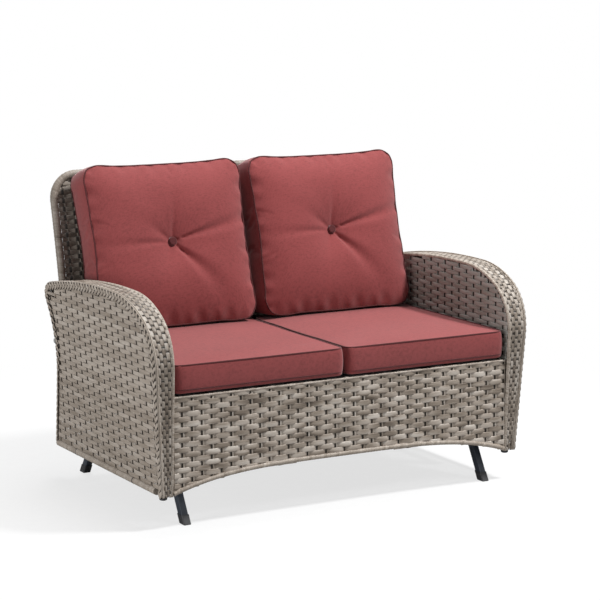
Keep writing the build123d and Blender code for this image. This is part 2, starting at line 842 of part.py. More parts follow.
# Runners: a rail on each side that the links carry, with drop posts up to the deck
runner_start = -front_pivot - runner_end
runner_length = front_pivot + rear_pivot + 2 * runner_end
runner_top = lower_pivot_height + runner_height / 2
drop_length = deck_bottom - runner_top - 2 * seat_gap
runner_tube = flat_tube(
    facing_back(side_beam_place, runner_start, lower_pivot_height),
    runner_length,
    deck_tube,
    runner_height,
    deck_wall,
    tube_wall,
)
with BuildPart() as runner:
    add(runner_tube.part)
    for place in pivot_places:
        hole_plane = facing_right(side_beam_place, place, lower_pivot_height)
        drill(hole_plane, pivot_hole_radius, 2 * deck_tube)
save_pair(runner, "runner_rail")

for name, depth in (("front", -front_pivot), ("rear", rear_pivot)):
    drop_foot = Plane.XY.offset(runner_top + seat_gap).shift_origin(
        (side_beam_place, depth, runner_top + seat_gap)
    )
    save_pair(flat_tube(drop_foot, drop_length, *deck_size), f"{name}_drop_post")

# Seat cushions: boxed, with drawn-in sides and a low crown
cushion_inner = cushion_gap / 2
cushion_outer = seat_half_width - cushion_side_gap
cushion_width = cushion_outer - cushion_inner
cushion_middle = (cushion_inner + cushion_outer) / 2
seat_cushion_front = skirt_front + cushion_overhang
seat_cushion_depth = seat_cushion_front + half_depth - seat_cushion_setback
seat_cushion_bottom = rim_height + seat_gap
seat_seam = seat_cushion_bottom + seat_boxing
crown_steps = ((crown_mid_share, crown_mid_rise_share), (crown_top_share, 1.0))


def cushion_face(plane, width, height, corner, draw):
    """A cushion's face: four sides drawn in between rounded corners."""
    half_w = width / 2
    half_h = height / 2
    with BuildSketch(plane) as face:
        with BuildLine():
            ThreePointArc((-half_w, -half_h), (0, draw - half_h), (half_w, -half_h))
            ThreePointArc((half_w, -half_h), (half_w - draw, 0), (half_w, half_h))
            ThreePointArc((half_w, half_h), (0, half_h - draw), (-half_w, half_h))
            ThreePointArc((-half_w, half_h), (draw - half_w, 0), (-half_w, -half_h))
        make_face()
        fillet(face.vertices(), corner)
    return face.sketch


def crowned_cushion(seam_plane, size, corner, draw, boxing, crowns):
    """A boxed cushion behind a seam plane, with a crown on its face and one on its back."""
    width, height = size
    back_plane = seam_plane.offset(-boxing)
    with BuildPart() as cushion:
        extrude(cushion_face(back_plane, width, height, corner, draw), amount=boxing)
        for crown, seam in zip(crowns, (seam_plane, back_plane)):
            if crown:
                sections = [cushion_face(seam, width, height, corner, draw)]
                for share, rise_share in crown_steps:
                    level = seam.offset(crown * rise_share)
                    size = width * share, height * share
                    sections.append(cushion_face(level, *size, corner, draw * share))
                loft(sections)
    return cushion


seat_plane = Plane.XY.offset(seat_seam).shift_origin(
    (cushion_middle, seat_cushion_depth / 2 - seat_cushion_front, seat_seam)
)
seat_cushion = crowned_cushion(
    seat_plane,
    (cushion_width, seat_cushion_depth),
    cushion_corner,
    seat_draw,
    seat_boxing,
    (seat_crown, 0),
)
save_pair(seat_cushion, "seat_cushion")

# Back cushions: puffed on both faces, cut level where they stand on the seat cushions
seat_crown_step = crown_mid_rise_share * seat_crown
back_cushion_bottom = seat_seam + seat_crown_step - seat_crown_fall + seat_gap
back_cushion_recline = radians(back_recline + back_cushion_lean)
recline_sine = sin(back_cushion_recline)
recline_cosine = cos(back_cushion_recline)
back_cushion_top = frame_height + back_cushion_rise
back_cushion_height = (back_cushion_top - back_cushion_bottom) / recline_cosine
face_middle = back_cushion_height / 2
rear_reach = back_boxing + rear_crown
rear_middle = back_cushion_bottom + face_middle * recline_cosine - rear_reach * recline_sine
rear_middle_depth = back_depth(rear_middle, half_weave + back_cushion_gap)
back_cushion_front = rear_middle_depth - rear_reach * recline_cosine - face_middle * recline_sine
face_plane = Plane(
    origin=(
        cushion_middle,
        back_cushion_front + face_middle * recline_sine,
        back_cushion_bottom + face_middle * recline_cosine,
    ),
    x_dir=(1, 0, 0),
    z_dir=(0, -recline_cosine, recline_sine),
)
plain_back = crowned_cushion(
    face_plane,
    (cushion_width, back_cushion_height),
    back_cushion_corner,
    back_draw,
    back_boxing,
    (front_crown, -rear_crown),
)
tuft_floor = front_crown - tuft_depth
tuft_seat = button_radius + button_gap
axis_plane = Plane(face_plane.origin, x_dir=(1, 0, 0), z_dir=-face_plane.y_dir)
with BuildPart() as back_cushion:
    add(plain_back.part)
    with BuildSketch(axis_plane):
        with BuildLine():
            funnel = TangentArc((tuft_radius, front_crown), (tuft_seat, tuft_floor), tangent=(-1, 0))
            Polyline(
                funnel @ 1,
                (0, tuft_floor),
                (0, front_crown + overrun),
                (tuft_radius, front_crown + overrun),
                funnel @ 0,
            )
        make_face()
    revolve(axis=Axis(face_plane.origin, face_plane.z_dir), mode=Mode.SUBTRACT)
    split(bisect_by=Plane.XY.offset(back_cushion_bottom), keep=Keep.TOP)
save_pair(back_cushion, "back_cushion")

# Covered buttons, one sewn into each back cushion
with BuildPart() as button:
    with BuildSketch(face_plane.offset(tuft_floor + seat_gap)):
        Circle(button_radius)
    extrude(amount=button_height)
    button_face = button.faces().sort_by(Axis(face_plane.origin, face_plane.z_dir))[-1]
    fillet(button_face.edges(), button_edge)
save(both_sides(button), "cushion_buttons")

# Frame bolts: their heads stand clear of the tubes, which lean a little
frame_bolt = (frame_bolt_radius, frame_bolt_head, frame_bolt_head_height)
post_lean_gap = frame_bolt_head * tan(radians(back_recline))
loop_lean_gap = frame_bolt_head * tan(radians(side_lean))
rear_bolt_face = back_depth(deck_centre) + post_slant_radius + post_lean_gap
loop_bolt_face = loop_place(back_bolt_height) + loop_radius + loop_lean_gap
front_bolt = bolt(
    facing_right(post_place + post_radius, deck_front, deck_centre).rotated((0, 180, 0)),
    2 * post_radius + frame_bolt_bite,
    frame_bolt,
)
rear_bolt = bolt(
    facing_back(back_half_width, rear_bolt_face, deck_centre).rotated((180, 0, 0)),
    rear_bolt_face - rear_rail_face + frame_bolt_bite,
    frame_bolt,
)
spacer_start = 2 * (loop_radius + loop_lean_gap)
spacer_length = loop_bolt_face - back_post_outer - spacer_start - seat_gap
loop_bolt = bolt(
    facing_right(loop_bolt_face, back_bolt_depth, back_bolt_height).rotated((0, 180, 0)),
    loop_bolt_face - back_post_outer + frame_bolt_bite / 2,
    frame_bolt,
    collar=(spacer_radius, spacer_start, spacer_length),
)
save(both_sides(front_bolt, rear_bolt, loop_bolt), "frame_bolts")
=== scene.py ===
import json
import math

import bpy
import numpy as np
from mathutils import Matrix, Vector
from mathutils.bvhtree import BVHTree


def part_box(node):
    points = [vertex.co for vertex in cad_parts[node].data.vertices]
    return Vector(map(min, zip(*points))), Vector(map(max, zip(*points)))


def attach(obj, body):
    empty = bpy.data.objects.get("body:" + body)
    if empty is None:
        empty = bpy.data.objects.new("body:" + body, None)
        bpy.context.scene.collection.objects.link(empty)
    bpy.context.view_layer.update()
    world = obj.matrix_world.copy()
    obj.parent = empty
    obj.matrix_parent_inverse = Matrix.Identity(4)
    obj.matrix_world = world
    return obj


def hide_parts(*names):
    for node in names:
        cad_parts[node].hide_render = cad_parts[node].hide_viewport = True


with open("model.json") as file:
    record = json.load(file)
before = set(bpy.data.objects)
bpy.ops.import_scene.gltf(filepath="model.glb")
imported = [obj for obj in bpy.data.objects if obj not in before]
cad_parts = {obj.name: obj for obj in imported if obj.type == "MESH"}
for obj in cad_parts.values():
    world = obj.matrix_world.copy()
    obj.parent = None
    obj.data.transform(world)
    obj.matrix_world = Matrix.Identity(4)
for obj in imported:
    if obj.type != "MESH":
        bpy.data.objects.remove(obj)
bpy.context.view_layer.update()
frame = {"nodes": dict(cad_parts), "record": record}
scene = bpy.context.scene
rng = np.random.default_rng(7)

SIDES = {"left": -1, "right": 1}
RIGHT = np.array([1.0, 0.0, 0.0])
REARWARD = np.array([0.0, 1.0, 0.0])
UP = np.array([0.0, 0.0, 1.0])

# Sizes in metres, as in the part's source
SIDE_LEAN = math.radians(3.4447)
SIDE_ORIGIN = 0.588412
FRONT_START = (-0.3887, 0.093)
FRONT_HEADING = math.radians(92.4)
FRONT_RUN = 0.3614
# radius and last heading of each arc of the arm, or the length of a straight run
ARM_MOVES = [(0.165, 30), (0.330, 2), (2.150, -11), (0.036, -118), (0.035, None),
             (-0.292, -78), (0.2285, None)]
EDGE_ROD_X = 0.566
EDGE_ROD_RADIUS = 0.005
EDGE_ROD_INSET = 0.0055
EDGE_ROD_SHORT = 0.375
LOOP_RADIUS = 0.008
LOOP_INSET = 0.007
RAIL_HEIGHT = 0.105
RAIL_RADIUS = 0.011
RAIL_ENDS = (-0.348, 0.338)
INNER_SKIN_X = 0.564
INNER_SKIN_INSET = 0.011
INNER_SKIN_BOTTOM = 0.3755
INNER_SKIN_TOP = 0.6375
SIDE_SKIN_OFFSET = 0.004
SIDE_SKIN_INSET = 0.0155
SIDE_SKIN_BOTTOM = 0.1165
CORNER_GAP = (0.276, 0.575)
SKIRT_HALF = 0.560
SKIRT_TOP = 0.377
SKIRT_Y = -0.386
ARCH_CROWN = 0.153
ARCH_DROP = 0.0515
ARCH_POWER = 3.7
ARCH_ROD_RADIUS = 0.007
REAR_TAIL_SLOPE = math.radians(12)
REAR_SKIRT_HALF = 0.586
REAR_SKIRT_TOP = 0.341
REAR_SKIRT_Y = 0.2875
REAR_ARCH_CROWN = 0.2005
REAR_ARCH_DROP = 0.0215
BACK_HALF = 0.583
BACK_RADIUS = 0.012
BACK_CORNER = 0.080
BACK_FOOT = 0.345
BACK_BEND = (0.37365, 0.84838)
BACK_CURVE = (5.4479, 5.2295, -0.4164)
BACK_RECLINE = math.radians(13.996)
PANEL_BOTTOM = 0.338
PANEL_HALF = 0.5695
PANEL_TOP = 0.918
PANEL_CORNER = 0.055

# Strands and stakes of the weave
STAKE_PITCH = 0.0323
SKIRT_STAKE_PITCH = 0.0311
SKIRT_ROW_PITCH = 0.0147
SIDE_STAKE_PITCH = 0.040
ROW_PITCH = 0.0128
ROW_FILL = 1.07
STRAND_THICK = 0.0015
STRAND_MARGIN = 0.001
SHORTEST_STRAND = 0.012
LAP_SPREAD = 0.010
STAKE_WIDE = 0.0046
STAKE_THICK = 0.0024
STAKE_MARGIN = 0.002
STAKE_STEP = 0.02
# Painted shade on the stakes, which darkens them a little
STAKE_PAINTED_SHADE = 0.2
SHORTEST_STAKE = 0.01
WAVE = 0.0024
# how much of a strand's wave is even, and how much bends only near the stakes
WAVE_SHARES = (0.6, 0.4)
WIDTH_JITTER = 0.012
HEIGHT_JITTER = 0.0002
ROD_OVERLAP = 0.001
OUTLINE_STEP = 0.01

# Bands, plaits and wrapped rods
BAND_INSET = 0.0035
BAND_STEP = 0.0027
BAND_SHORT = 0.255
BAND_COLUMNS = 5
BAND_PAST_OUTSIDE = 0.0005
BAND_PAST_ROD = 0.003
BAND_WAVE = 0.0017
BAND_SLOT = 0.0032
BAND_FILL = 1.05
BAND_TAPER = 0.1
BAND_TAPER_SPREAD = 0.006
CROSS_PITCH = 0.0135
CROSS_SIZE = 0.0019
# Cross stakes get seeds below this share: a darker tone, painted shade for the band's slots
CROSS_SEED_SHARE = 0.3
# Half painted shade, on the cross stakes and on the tucked ends of the plait strands
HALF_PAINTED_SHADE = 0.35
BRAID_WIDTH = (0.018, 0.027)
BRAID_GROWS_OVER = 0.35
BRAID_SHRINKS_BEFORE = 0.30
BRAID_SHRINKS_OVER = 0.05
BRAID_SHRINKS_BY = 0.42
PLAIT_PITCH = 0.0200
PLAIT_SLANT = 0.018
PLAIT_TOP = 0.006
PLAIT_HALF = 0.0046
PLAIT_THICK = 0.0016
PLAIT_LIFT = 0.0006
PLAIT_RISE = 0.0014
PLAIT_SHARES = (-0.12, 1.05)
PLAIT_ENDS = (0.002, 0.005)
# Strips under the plait, dark with painted shade for the gaps between its strands: shares of the way down,
# half width, thickness, step and painted shade
BACKING_SHARES = (0.2, 0.5, 0.8)
BACKING_HALF = 0.0045
BACKING_THICK = 0.001
BACKING_STEP = 0.005
BACKING_PAINTED_SHADE = 0.9
# way down over the shoulder and radius of each thin cord above the plait
BRIM_CORDS = ((0.0012, 0.0014), (0.0048, 0.0013))
BRIM_CORD_SHORT = 0.24
BRIM_STEP = 0.004
RAIL_CLIP_SHARES = (0.21, 0.79)
RAIL_CLIP_HALF = 0.002
RAIL_CLIP_RISE = 0.0004
NOTCH_BAR_RADIUS = 0.0055
NOTCH_BAR_LIFT = 0.003
NOTCH_BAR_PAST = (0.008, 0.012)
SKIRT_RIM_RADIUS = 0.0036
SKIRT_RIM_DROP = 0.0025
# pitch of the wrapped strip, and how far each turn stands out
WRAPS = {
    "notch_bar": (0.009, 0.0008),
    "arm_edge": (0.007, 0.0008),
    "loop": (0.011, 0.001),
    "rail": (0.013, 0.0012),
    "arch_rod": (0.010, 0.0010),
    "skirt_rim": (0.0155, 0.0008),
    "back": (0.012, 0.0012),
}
LOOP_SLACK = 0.0012
STEPS_PER_TURN = 6
TURN_LAY_SHIFT = 0.05
PLAIN_TUBE_STEP = 0.008
PLAIN_TUBE_LAY = 0.005

# across a strand: share of half its width and share of half its thickness
SECTION_SHARES = np.array([(-1, 0), (-0.8, 0.75), (0, 1), (0.8, 0.75), (1, 0), (0.75, -0.9), (-0.75, -0.9)])


def spot(x, y, z):
    """Points from coordinates, each an array or one number."""
    return np.stack(np.broadcast_arrays(x, y, z), axis=-1)


def lengths_along(path):
    steps = np.linalg.norm(np.diff(path, axis=0), axis=1)
    return np.concatenate([[0], np.cumsum(steps)])


def unit(vectors):
    return vectors / np.linalg.norm(vectors, axis=1)[:, None]


def resample(path, step):
    path = np.asarray(path, float)
    along = lengths_along(path)
    count = max(2, int(math.ceil(along[-1] / step)) + 1)
    places = np.linspace(0, along[-1], count)
    return np.stack([np.interp(places, along, path[:, k]) for k in range(3)], axis=1)


def carried_frames(tangent):
    """Two unit vectors across each tangent, carried along the path without twist."""
    last = UP if abs(tangent[0][2]) < 0.8 else RIGHT
    u = np.zeros_like(tangent)
    for k, t in enumerate(tangent):
        last = last - t * (last @ t)
        last = last / np.linalg.norm(last)
        u[k] = last
    return u, np.cross(tangent, u)


def scatter(numbers, seed):
    """A share between 0 and 1 for each whole number, spread without a pattern."""
    return (np.sin(numbers * 12.9898 + seed * 78.2) * 43758.5453) % 1.0


class Strands:
    """Gathers ribbons and tubes into one mesh. Each keeps its lay: along, across and a seed of its own, and
    a share of painted shade for its colour.
    """

    def __init__(self):
        self.points = []
        self.quads = []
        self.caps = []
        self.lay = []
        self.dip_and_painted_shade = []
        self.count = 0

    def grid(self, points, lay, dip_and_painted_shade=0.0):
        """points is (n, m, 3), n closed rings of m points. The last argument is each ring's share of
        painted shade: it darkens the colour and moves no point.
        """
        n, m = points.shape[:2]
        index = self.count + np.arange(n * m).reshape(n, m)
        right = np.roll(index, -1, axis=1)
        quads = np.stack([index[:-1], right[:-1], right[1:], index[1:]], axis=-1).reshape(-1, 4)
        self.points.append(points.reshape(-1, 3))
        self.lay.append(lay.reshape(-1, 3))
        self.dip_and_painted_shade.append(np.broadcast_to(np.reshape(dip_and_painted_shade, (-1, 1)), (n, m)).ravel())
        self.quads.append(quads)
        self.caps += [index[0][::-1], index[-1]]
        self.count += n * m

    def ribbon(self, path, across, out, half, thick=STRAND_THICK, seed=None, along=None, dip_and_painted_shade=0.0):
        """A strand with a rounded flat section.

        across and out are unit vectors, one for the strand or one for each point.
        """
        n, m = len(path), len(SECTION_SHARES)
        across = np.broadcast_to(across, (n, 3))
        out = np.broadcast_to(out, (n, 3))
        half = np.broadcast_to(half, (n,))
        a, b = SECTION_SHARES[:, 0], SECTION_SHARES[:, 1]
        points = (
            path[:, None, :]
            + across[:, None, :] * (half[:, None] * a)[..., None]
            + out[:, None, :] * (b * thick / 2)[None, :, None]
        )
        along = lengths_along(path) if along is None else along
        seed = rng.random() if seed is None else seed
        lay = np.stack([
            np.broadcast_to(along[:, None], (n, m)),
            np.broadcast_to(a, (n, m)) * half[:, None],
            np.full((n, m), seed),
        ], axis=-1)
        self.grid(points, lay, dip_and_painted_shade=dip_and_painted_shade)

    def tube(self, path, radius, wrap=None, sides=14, seed=None):
        """A round tube, plain or wrapped in a strip. wrap is a name in WRAPS."""
        turn, rise = WRAPS[wrap] if wrap else (0.0, 0.0)
        path = resample(path, turn / STEPS_PER_TURN if wrap else PLAIN_TUBE_STEP)
        n = len(path)
        tangent = unit(np.gradient(path, axis=0))
        u, v = carried_frames(tangent)
        along = lengths_along(path)
        angle = np.linspace(0, 2 * math.pi, sides, endpoint=False)
        r = np.full((n, sides), radius)
        if wrap:
            turns = along[:, None] / turn + angle[None, :] / (2 * math.pi)
            part = turns % 1.0
            r = r - rise + rise * np.sqrt(np.clip(1 - (2 * part - 1) ** 4, 0, 1))
        points = (
            path[:, None, :]
            + u[:, None, :] * (np.cos(angle)[None, :] * r)[..., None]
            + v[:, None, :] * (np.sin(angle)[None, :] * r)[..., None]
        )
        seed = rng.random() if seed is None else seed
        if wrap:
            number = np.floor(turns)
            lay = spot(angle[None, :] * r + number * TURN_LAY_SHIFT, (part - 0.5) * turn,
                       scatter(number, seed))
        else:
            lay = spot(along[:, None], angle[None, :] * PLAIN_TUBE_LAY, np.full((n, sides), seed))
        self.grid(points, lay)

    def build(self, name, material, slot, replaces=()):
        points = np.concatenate(self.points)
        quads = np.concatenate(self.quads)
        mesh = bpy.data.meshes.new(name)
        mesh.vertices.add(len(points))
        mesh.vertices.foreach_set("co", points.astype(np.float32).ravel())
        corners = np.concatenate([quads.ravel(), *self.caps])
        totals = np.concatenate([np.full(len(quads), 4), [len(c) for c in self.caps]])
        starts = np.concatenate([[0], np.cumsum(totals)[:-1]])
        mesh.loops.add(len(corners))
        mesh.loops.foreach_set("vertex_index", corners.astype(np.int32))
        mesh.polygons.add(len(totals))
        mesh.polygons.foreach_set("loop_start", starts.astype(np.int32))
        mesh.polygons.foreach_set("loop_total", totals.astype(np.int32))
        smooth = np.concatenate([np.ones(len(quads), bool), np.zeros(len(self.caps), bool)])
        mesh.polygons.foreach_set("use_smooth", smooth)
        lay = mesh.attributes.new("lay", "FLOAT_VECTOR", "POINT")
        lay.data.foreach_set("vector", np.concatenate(self.lay).astype(np.float32).ravel())
        # Painted shade: a share for each point that darkens its colour in the resin materials
        dip_and_painted_shade = mesh.attributes.new("dip_and_painted_shade", "FLOAT", "POINT")
        dip_and_painted_shade.data.foreach_set("value", np.concatenate(self.dip_and_painted_shade).astype(np.float32))
        mesh.update(calc_edges=True)
        mesh.validate()
        return dress(bpy.data.objects.new(name, mesh), material, replaces)


def dress(obj, material, replaces=()):
    """Puts a piece in the scene. All of them ride on the seat."""
    scene.collection.objects.link(obj)
    obj.data.materials.append(material)
    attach(obj, "seat")
    if replaces:
        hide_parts(*replaces)
    return obj


def arm_path(inset, step=0.004):
    """The arm's outline from the side, drawn in by inset: y, height along the lean, heading and run."""
    heading = FRONT_HEADING
    y = FRONT_START[0] + inset * math.sin(heading)
    z = FRONT_START[1] - inset * math.cos(heading)
    rows = []

    def line(length):
        nonlocal y, z
        count = max(1, int(length / step))
        for k in range(count):
            s = length * k / count
            rows.append((y + s * math.cos(heading), z + s * math.sin(heading), heading))
        y += length * math.cos(heading)
        z += length * math.sin(heading)

    def arc(radius, end):
        nonlocal y, z, heading
        r = radius - inset
        turn = end - heading
        count = max(2, int(abs(r * turn) / step))
        centre = (y + r * math.sin(heading), z - r * math.cos(heading))
        for k in range(count):
            h = heading + turn * k / count
            rows.append((centre[0] - r * math.sin(h), centre[1] + r * math.cos(h), h))
        heading = end
        y, z = centre[0] - r * math.sin(end), centre[1] + r * math.cos(end)

    line(FRONT_RUN)
    for size, end in ARM_MOVES:
        if end is None:
            line(size)
        else:
            arc(size, math.radians(end))
    rows.append((y, z, heading))
    rows = np.array(rows)
    run = np.concatenate([[0], np.cumsum(np.hypot(*np.diff(rows[:, :2], axis=0).T))])
    return np.column_stack([rows, run])


BRIM_PATH = arm_path(0.0)


def side_place(side, y, h, w=0.0):
    """A point of a leaning side: y back, h up along the lean, w outwards."""
    x = SIDE_ORIGIN + h * math.sin(SIDE_LEAN) + w * math.cos(SIDE_LEAN)
    z = h * math.cos(SIDE_LEAN) - w * math.sin(SIDE_LEAN)
    return spot(x * SIDES[side], y, z)


def back_y(z):
    """The back's curve: y of its middle plane at a height."""
    z = np.asarray(z, float)
    centre, radius, low = BACK_CURVE
    curve = centre - np.sqrt(radius ** 2 - (np.minimum(z, BACK_BEND[1]) - low) ** 2)
    return curve + np.clip(z - BACK_BEND[1], 0, None) * math.tan(BACK_RECLINE)


def back_lean(z, step=0.001):
    """How far the back leans at a height, and the length of that slope for one unit of height."""
    lean = (back_y(z + step) - back_y(z - step)) / (2 * step)
    return lean, np.sqrt(1 + lean ** 2)


def arch(x, half, crown, drop):
    return crown - drop * np.abs(np.asarray(x) / half) ** ARCH_POWER


def inside(outline, axis, value):
    """Where a line at value of that axis lies inside the outline: pairs of start and end."""
    a, b = outline, np.roll(outline, -1, axis=0)
    crosses = (a[:, axis] > value) != (b[:, axis] > value)
    a, b = a[crosses], b[crosses]
    share = (value - a[:, axis]) / (b[:, axis] - a[:, axis])
    other = 1 - axis
    found = np.sort(a[:, other] + share * (b[:, other] - a[:, other]))
    return list(zip(found[::2], found[1::2]))


def dip(place, pitch, row, spread):
    """How deep a strand runs: 1 behind its own stakes, two pitches apart, and 0 over the rest."""
    part = (place / pitch + row) % 2.0
    return np.exp(-(np.minimum(part, 2.0 - part) * pitch / spread) ** 2)


def weave(outline, place, pitch, side, normal, up, row=ROW_PITCH, slot=0.0052, painted_shade_shift=0.0045, lap=0.30,
          steps=14):
    """Plain weave: rows of flat strands over and under upright stakes. place(u, v, w) gives points.

    side runs across the stakes, and normal(path) and up(path) give the other two ways at each point.
    Beside each stake, the strand that dips behind it is darkened with painted shade as a dark slot, shifted
    to the side that faces away from the light. Behind the stake that strand widens by the share lap, so
    that it laps behind its neighbours.
    """
    cloth = Strands()
    low_u, low_v = outline.min(axis=0)
    high_u, high_v = outline.max(axis=0)
    for j in range(int(math.floor(low_u / pitch)), int(math.ceil(high_u / pitch)) + 1):
        for start, end in inside(outline, 0, j * pitch):
            if end - start < SHORTEST_STAKE:
                continue
            count = max(2, int((end - start) / STAKE_STEP))
            v = np.linspace(start + STAKE_MARGIN, end - STAKE_MARGIN, count)
            path = place(np.full_like(v, j * pitch), v, np.zeros_like(v))
            cloth.ribbon(path, side, normal(path), STAKE_WIDE / 2, STAKE_THICK,
                         seed=0.8 + 0.2 * rng.random(), dip_and_painted_shade=STAKE_PAINTED_SHADE)
    rows = int(round((high_v - low_v) / row))
    for k in range(rows):
        v = low_v + (k + 0.5) * (high_v - low_v) / rows
        for start, end in inside(outline, 1, v):
            if end - start < SHORTEST_STRAND:
                continue
            step = pitch / steps
            first = math.ceil((start + STRAND_MARGIN) / step)
            last = math.floor((end - STRAND_MARGIN) / step)
            u = np.concatenate([[start], np.arange(first, last + 1) * step, [end]])
            # Painted shade: darkest beside each stake, shifted to the side that faces away from the light
            dip_and_painted_shade = dip(u + painted_shade_shift, pitch, k, slot)
            behind = dip(u, pitch, k, LAP_SPREAD)
            half = row / 2 * (ROW_FILL + lap * behind) * (1 + rng.normal(0, WIDTH_JITTER))
            wave = WAVE_SHARES[0] * -np.cos(math.pi * (u / pitch + k)) + WAVE_SHARES[1] * (1 - 2 * behind)
            path = place(u, np.full_like(u, v + rng.normal(0, HEIGHT_JITTER)), WAVE * wave)
            cloth.ribbon(path, up(path), normal(path), half, along=u + rng.random(), dip_and_painted_shade=dip_and_painted_shade)
    return cloth


def material(name):
    made = bpy.data.materials.new(name)
    made.use_nodes = True
    tree = made.node_tree
    return made, tree, tree.nodes["Principled BSDF"]


def feed(tree, socket, value):
    """Links a socket to another node's output, or sets its value."""
    if isinstance(value, bpy.types.NodeSocket):
        tree.links.new(value, socket)
    else:
        socket.default_value = value


def put(tree, kind, links=(), **settings):
    """A node with its settings, and its sockets fed: links are (socket name or number, value)."""
    made = tree.nodes.new(kind)
    for key, value in settings.items():
        setattr(made, key, value)
    for key, value in links:
        feed(tree, made.inputs[key], value)
    return made


def mix(tree, share, a, b, blend="MIX"):
    links = ((0, share), (6, a), (7, b))
    return put(tree, "ShaderNodeMix", links, data_type="RGBA", blend_type=blend).outputs[2]


def maths(tree, operation, *values):
    return put(tree, "ShaderNodeMath", enumerate(values), operation=operation).outputs[0]


def noise(tree, vector, scale, detail=2.0, roughness=0.5):
    links = (("Vector", vector), ("Scale", scale), ("Detail", detail), ("Roughness", roughness))
    return put(tree, "ShaderNodeTexNoise", links).outputs[0]


def ramp(tree, value, stops):
    made = put(tree, "ShaderNodeValToRGB", [(0, value)])
    bar = made.color_ramp
    while len(bar.elements) < len(stops):
        bar.elements.new(0.5)
    for element, (place, colour) in zip(bar.elements, stops):
        element.position = place
        element.color = (*colour, 1)
    return made.outputs[0]


def grain(tree, shader, height, strength, distance):
    links = (("Height", height), ("Strength", strength), ("Distance", distance))
    bump = put(tree, "ShaderNodeBump", links)
    tree.links.new(bump.outputs[0], shader.inputs["Normal"])


def shades(colour, darker, lighter):
    """Two stops of a ramp: a colour made darker and lighter by shares."""
    return tuple(c * (1 - darker) for c in colour), tuple(min(1, c * (1 + lighter)) for c in colour)


# Resin: how fast streaks and patches change along, across and from strand to strand
STREAK_SCALES = (14.0, 650.0, 91.0)
PATCH_SCALES = (9.0, 40.0, 53.0)
STREAK_SHARE = 0.55
SEED_SHARE = 0.16
TONE_BASE = 0.145
# Painted shade: the colour is multiplied from white down to dark brown as a strand's shade share grows
PAINTED_SHADE_STOPS = [(0.15, (1, 1, 1)), (0.6, (0.085, 0.075, 0.07))]
WICKER_STOPS = [(0.15, (0.11, 0.085, 0.064)), (0.36, (0.25, 0.205, 0.163)), (0.52, (0.385, 0.328, 0.274)),
                (0.80, (0.58, 0.525, 0.463))]


def toned(*shares):
    """The wicker's tones times one share, or times a share for each of red, green and blue."""
    shares = shares * 3 if len(shares) == 1 else shares
    return [(at, tuple(a * b for a, b in zip(shares, colour))) for at, colour in WICKER_STOPS]


def resin(name, stops, patches, roughness=0.5):
    """Extruded resin strands: streaks along each strand, a tone of its own for each, and painted shade from
    each point's stored share.
    """
    made, tree, shader = material(name)
    lay = put(tree, "ShaderNodeAttribute", attribute_name="lay")
    parts = put(tree, "ShaderNodeSeparateXYZ", [(0, lay.outputs["Vector"])]).outputs

    def stretched(scales):
        links = [(k, maths(tree, "MULTIPLY", parts[k], scale)) for k, scale in enumerate(scales)]
        return put(tree, "ShaderNodeCombineXYZ", links).outputs[0]

    streak = noise(tree, stretched(STREAK_SCALES), 1.0, detail=3.0, roughness=0.6)
    patch = noise(tree, stretched(PATCH_SCALES), 1.0, detail=1.0)
    tone = maths(tree, "ADD", maths(tree, "MULTIPLY", streak, STREAK_SHARE),
                 maths(tree, "MULTIPLY", patch, patches))
    own = maths(tree, "MULTIPLY_ADD", parts[2], SEED_SHARE, TONE_BASE - 0.5 * patches)
    tone = maths(tree, "ADD", tone, own)
    # Painted shade, read from the share stored on each point
    dip_and_painted_shade = put(tree, "ShaderNodeAttribute", attribute_name="dip_and_painted_shade")
    slot = ramp(tree, dip_and_painted_shade.outputs["Fac"], PAINTED_SHADE_STOPS)
    colour = mix(tree, 1.0, ramp(tree, tone, stops), slot, "MULTIPLY")
    tree.links.new(colour, shader.inputs["Base Color"])
    shader.inputs["Roughness"].default_value = roughness
    shader.inputs["Specular IOR Level"].default_value = 0.35
    grain(tree, shader, streak, 0.25, 0.0006)
    return made


def coat(name, colour, roughness=0.45, metallic=0.0):
    """Paint, plastic or plated metal with a fine grain."""
    made, tree, shader = material(name)
    at = put(tree, "ShaderNodeTexCoord").outputs["Object"]
    fine = noise(tree, at, 900.0)
    broad = noise(tree, at, 7.0)
    dark, light = shades(colour, 0.12, 0.12)
    tree.links.new(ramp(tree, broad, [(0.3, dark), (0.7, light)]), shader.inputs["Base Color"])
    rough = maths(tree, "MULTIPLY_ADD", broad, 0.16, roughness - 0.08)
    tree.links.new(rough, shader.inputs["Roughness"])
    shader.inputs["Metallic"].default_value = metallic
    grain(tree, shader, fine, 0.3, 0.00008)
    return made


def cloth(name, colour, thread=1000.0, along_share=0.09, vary=0.13):
    """Woven fabric: crossed threads with slubs. Threads change slowly along their own way."""
    made, tree, shader = material(name)
    at = put(tree, "ShaderNodeTexCoord").outputs["Object"]
    parts = []
    for axis in range(3):
        scale = tuple(thread * (1.0 if k == axis else along_share) for k in range(3))
        moved = put(tree, "ShaderNodeMapping", [("Vector", at), ("Scale", scale)])
        parts.append(noise(tree, moved.outputs[0], 1.0, detail=1.0))
    threads = maths(tree, "ADD", maths(tree, "ADD", parts[0], parts[1]), parts[2])
    broad = noise(tree, at, 9.0, detail=3.0)
    tone = maths(tree, "ADD", maths(tree, "MULTIPLY_ADD", threads, 0.9, -0.85),
                 maths(tree, "MULTIPLY", broad, 0.3))
    dark, light = shades(colour, 1.6 * vary, vary)
    tree.links.new(ramp(tree, tone, [(0.25, dark), (0.75, light)]), shader.inputs["Base Color"])
    shader.inputs["Roughness"].default_value = 0.9
    shader.inputs["Specular IOR Level"].default_value = 0.15
    shader.inputs["Sheen Weight"].default_value = 0.25
    shader.inputs["Sheen Roughness"].default_value = 0.5
    grain(tree, shader, threads, 0.2, 0.0004)
    return made


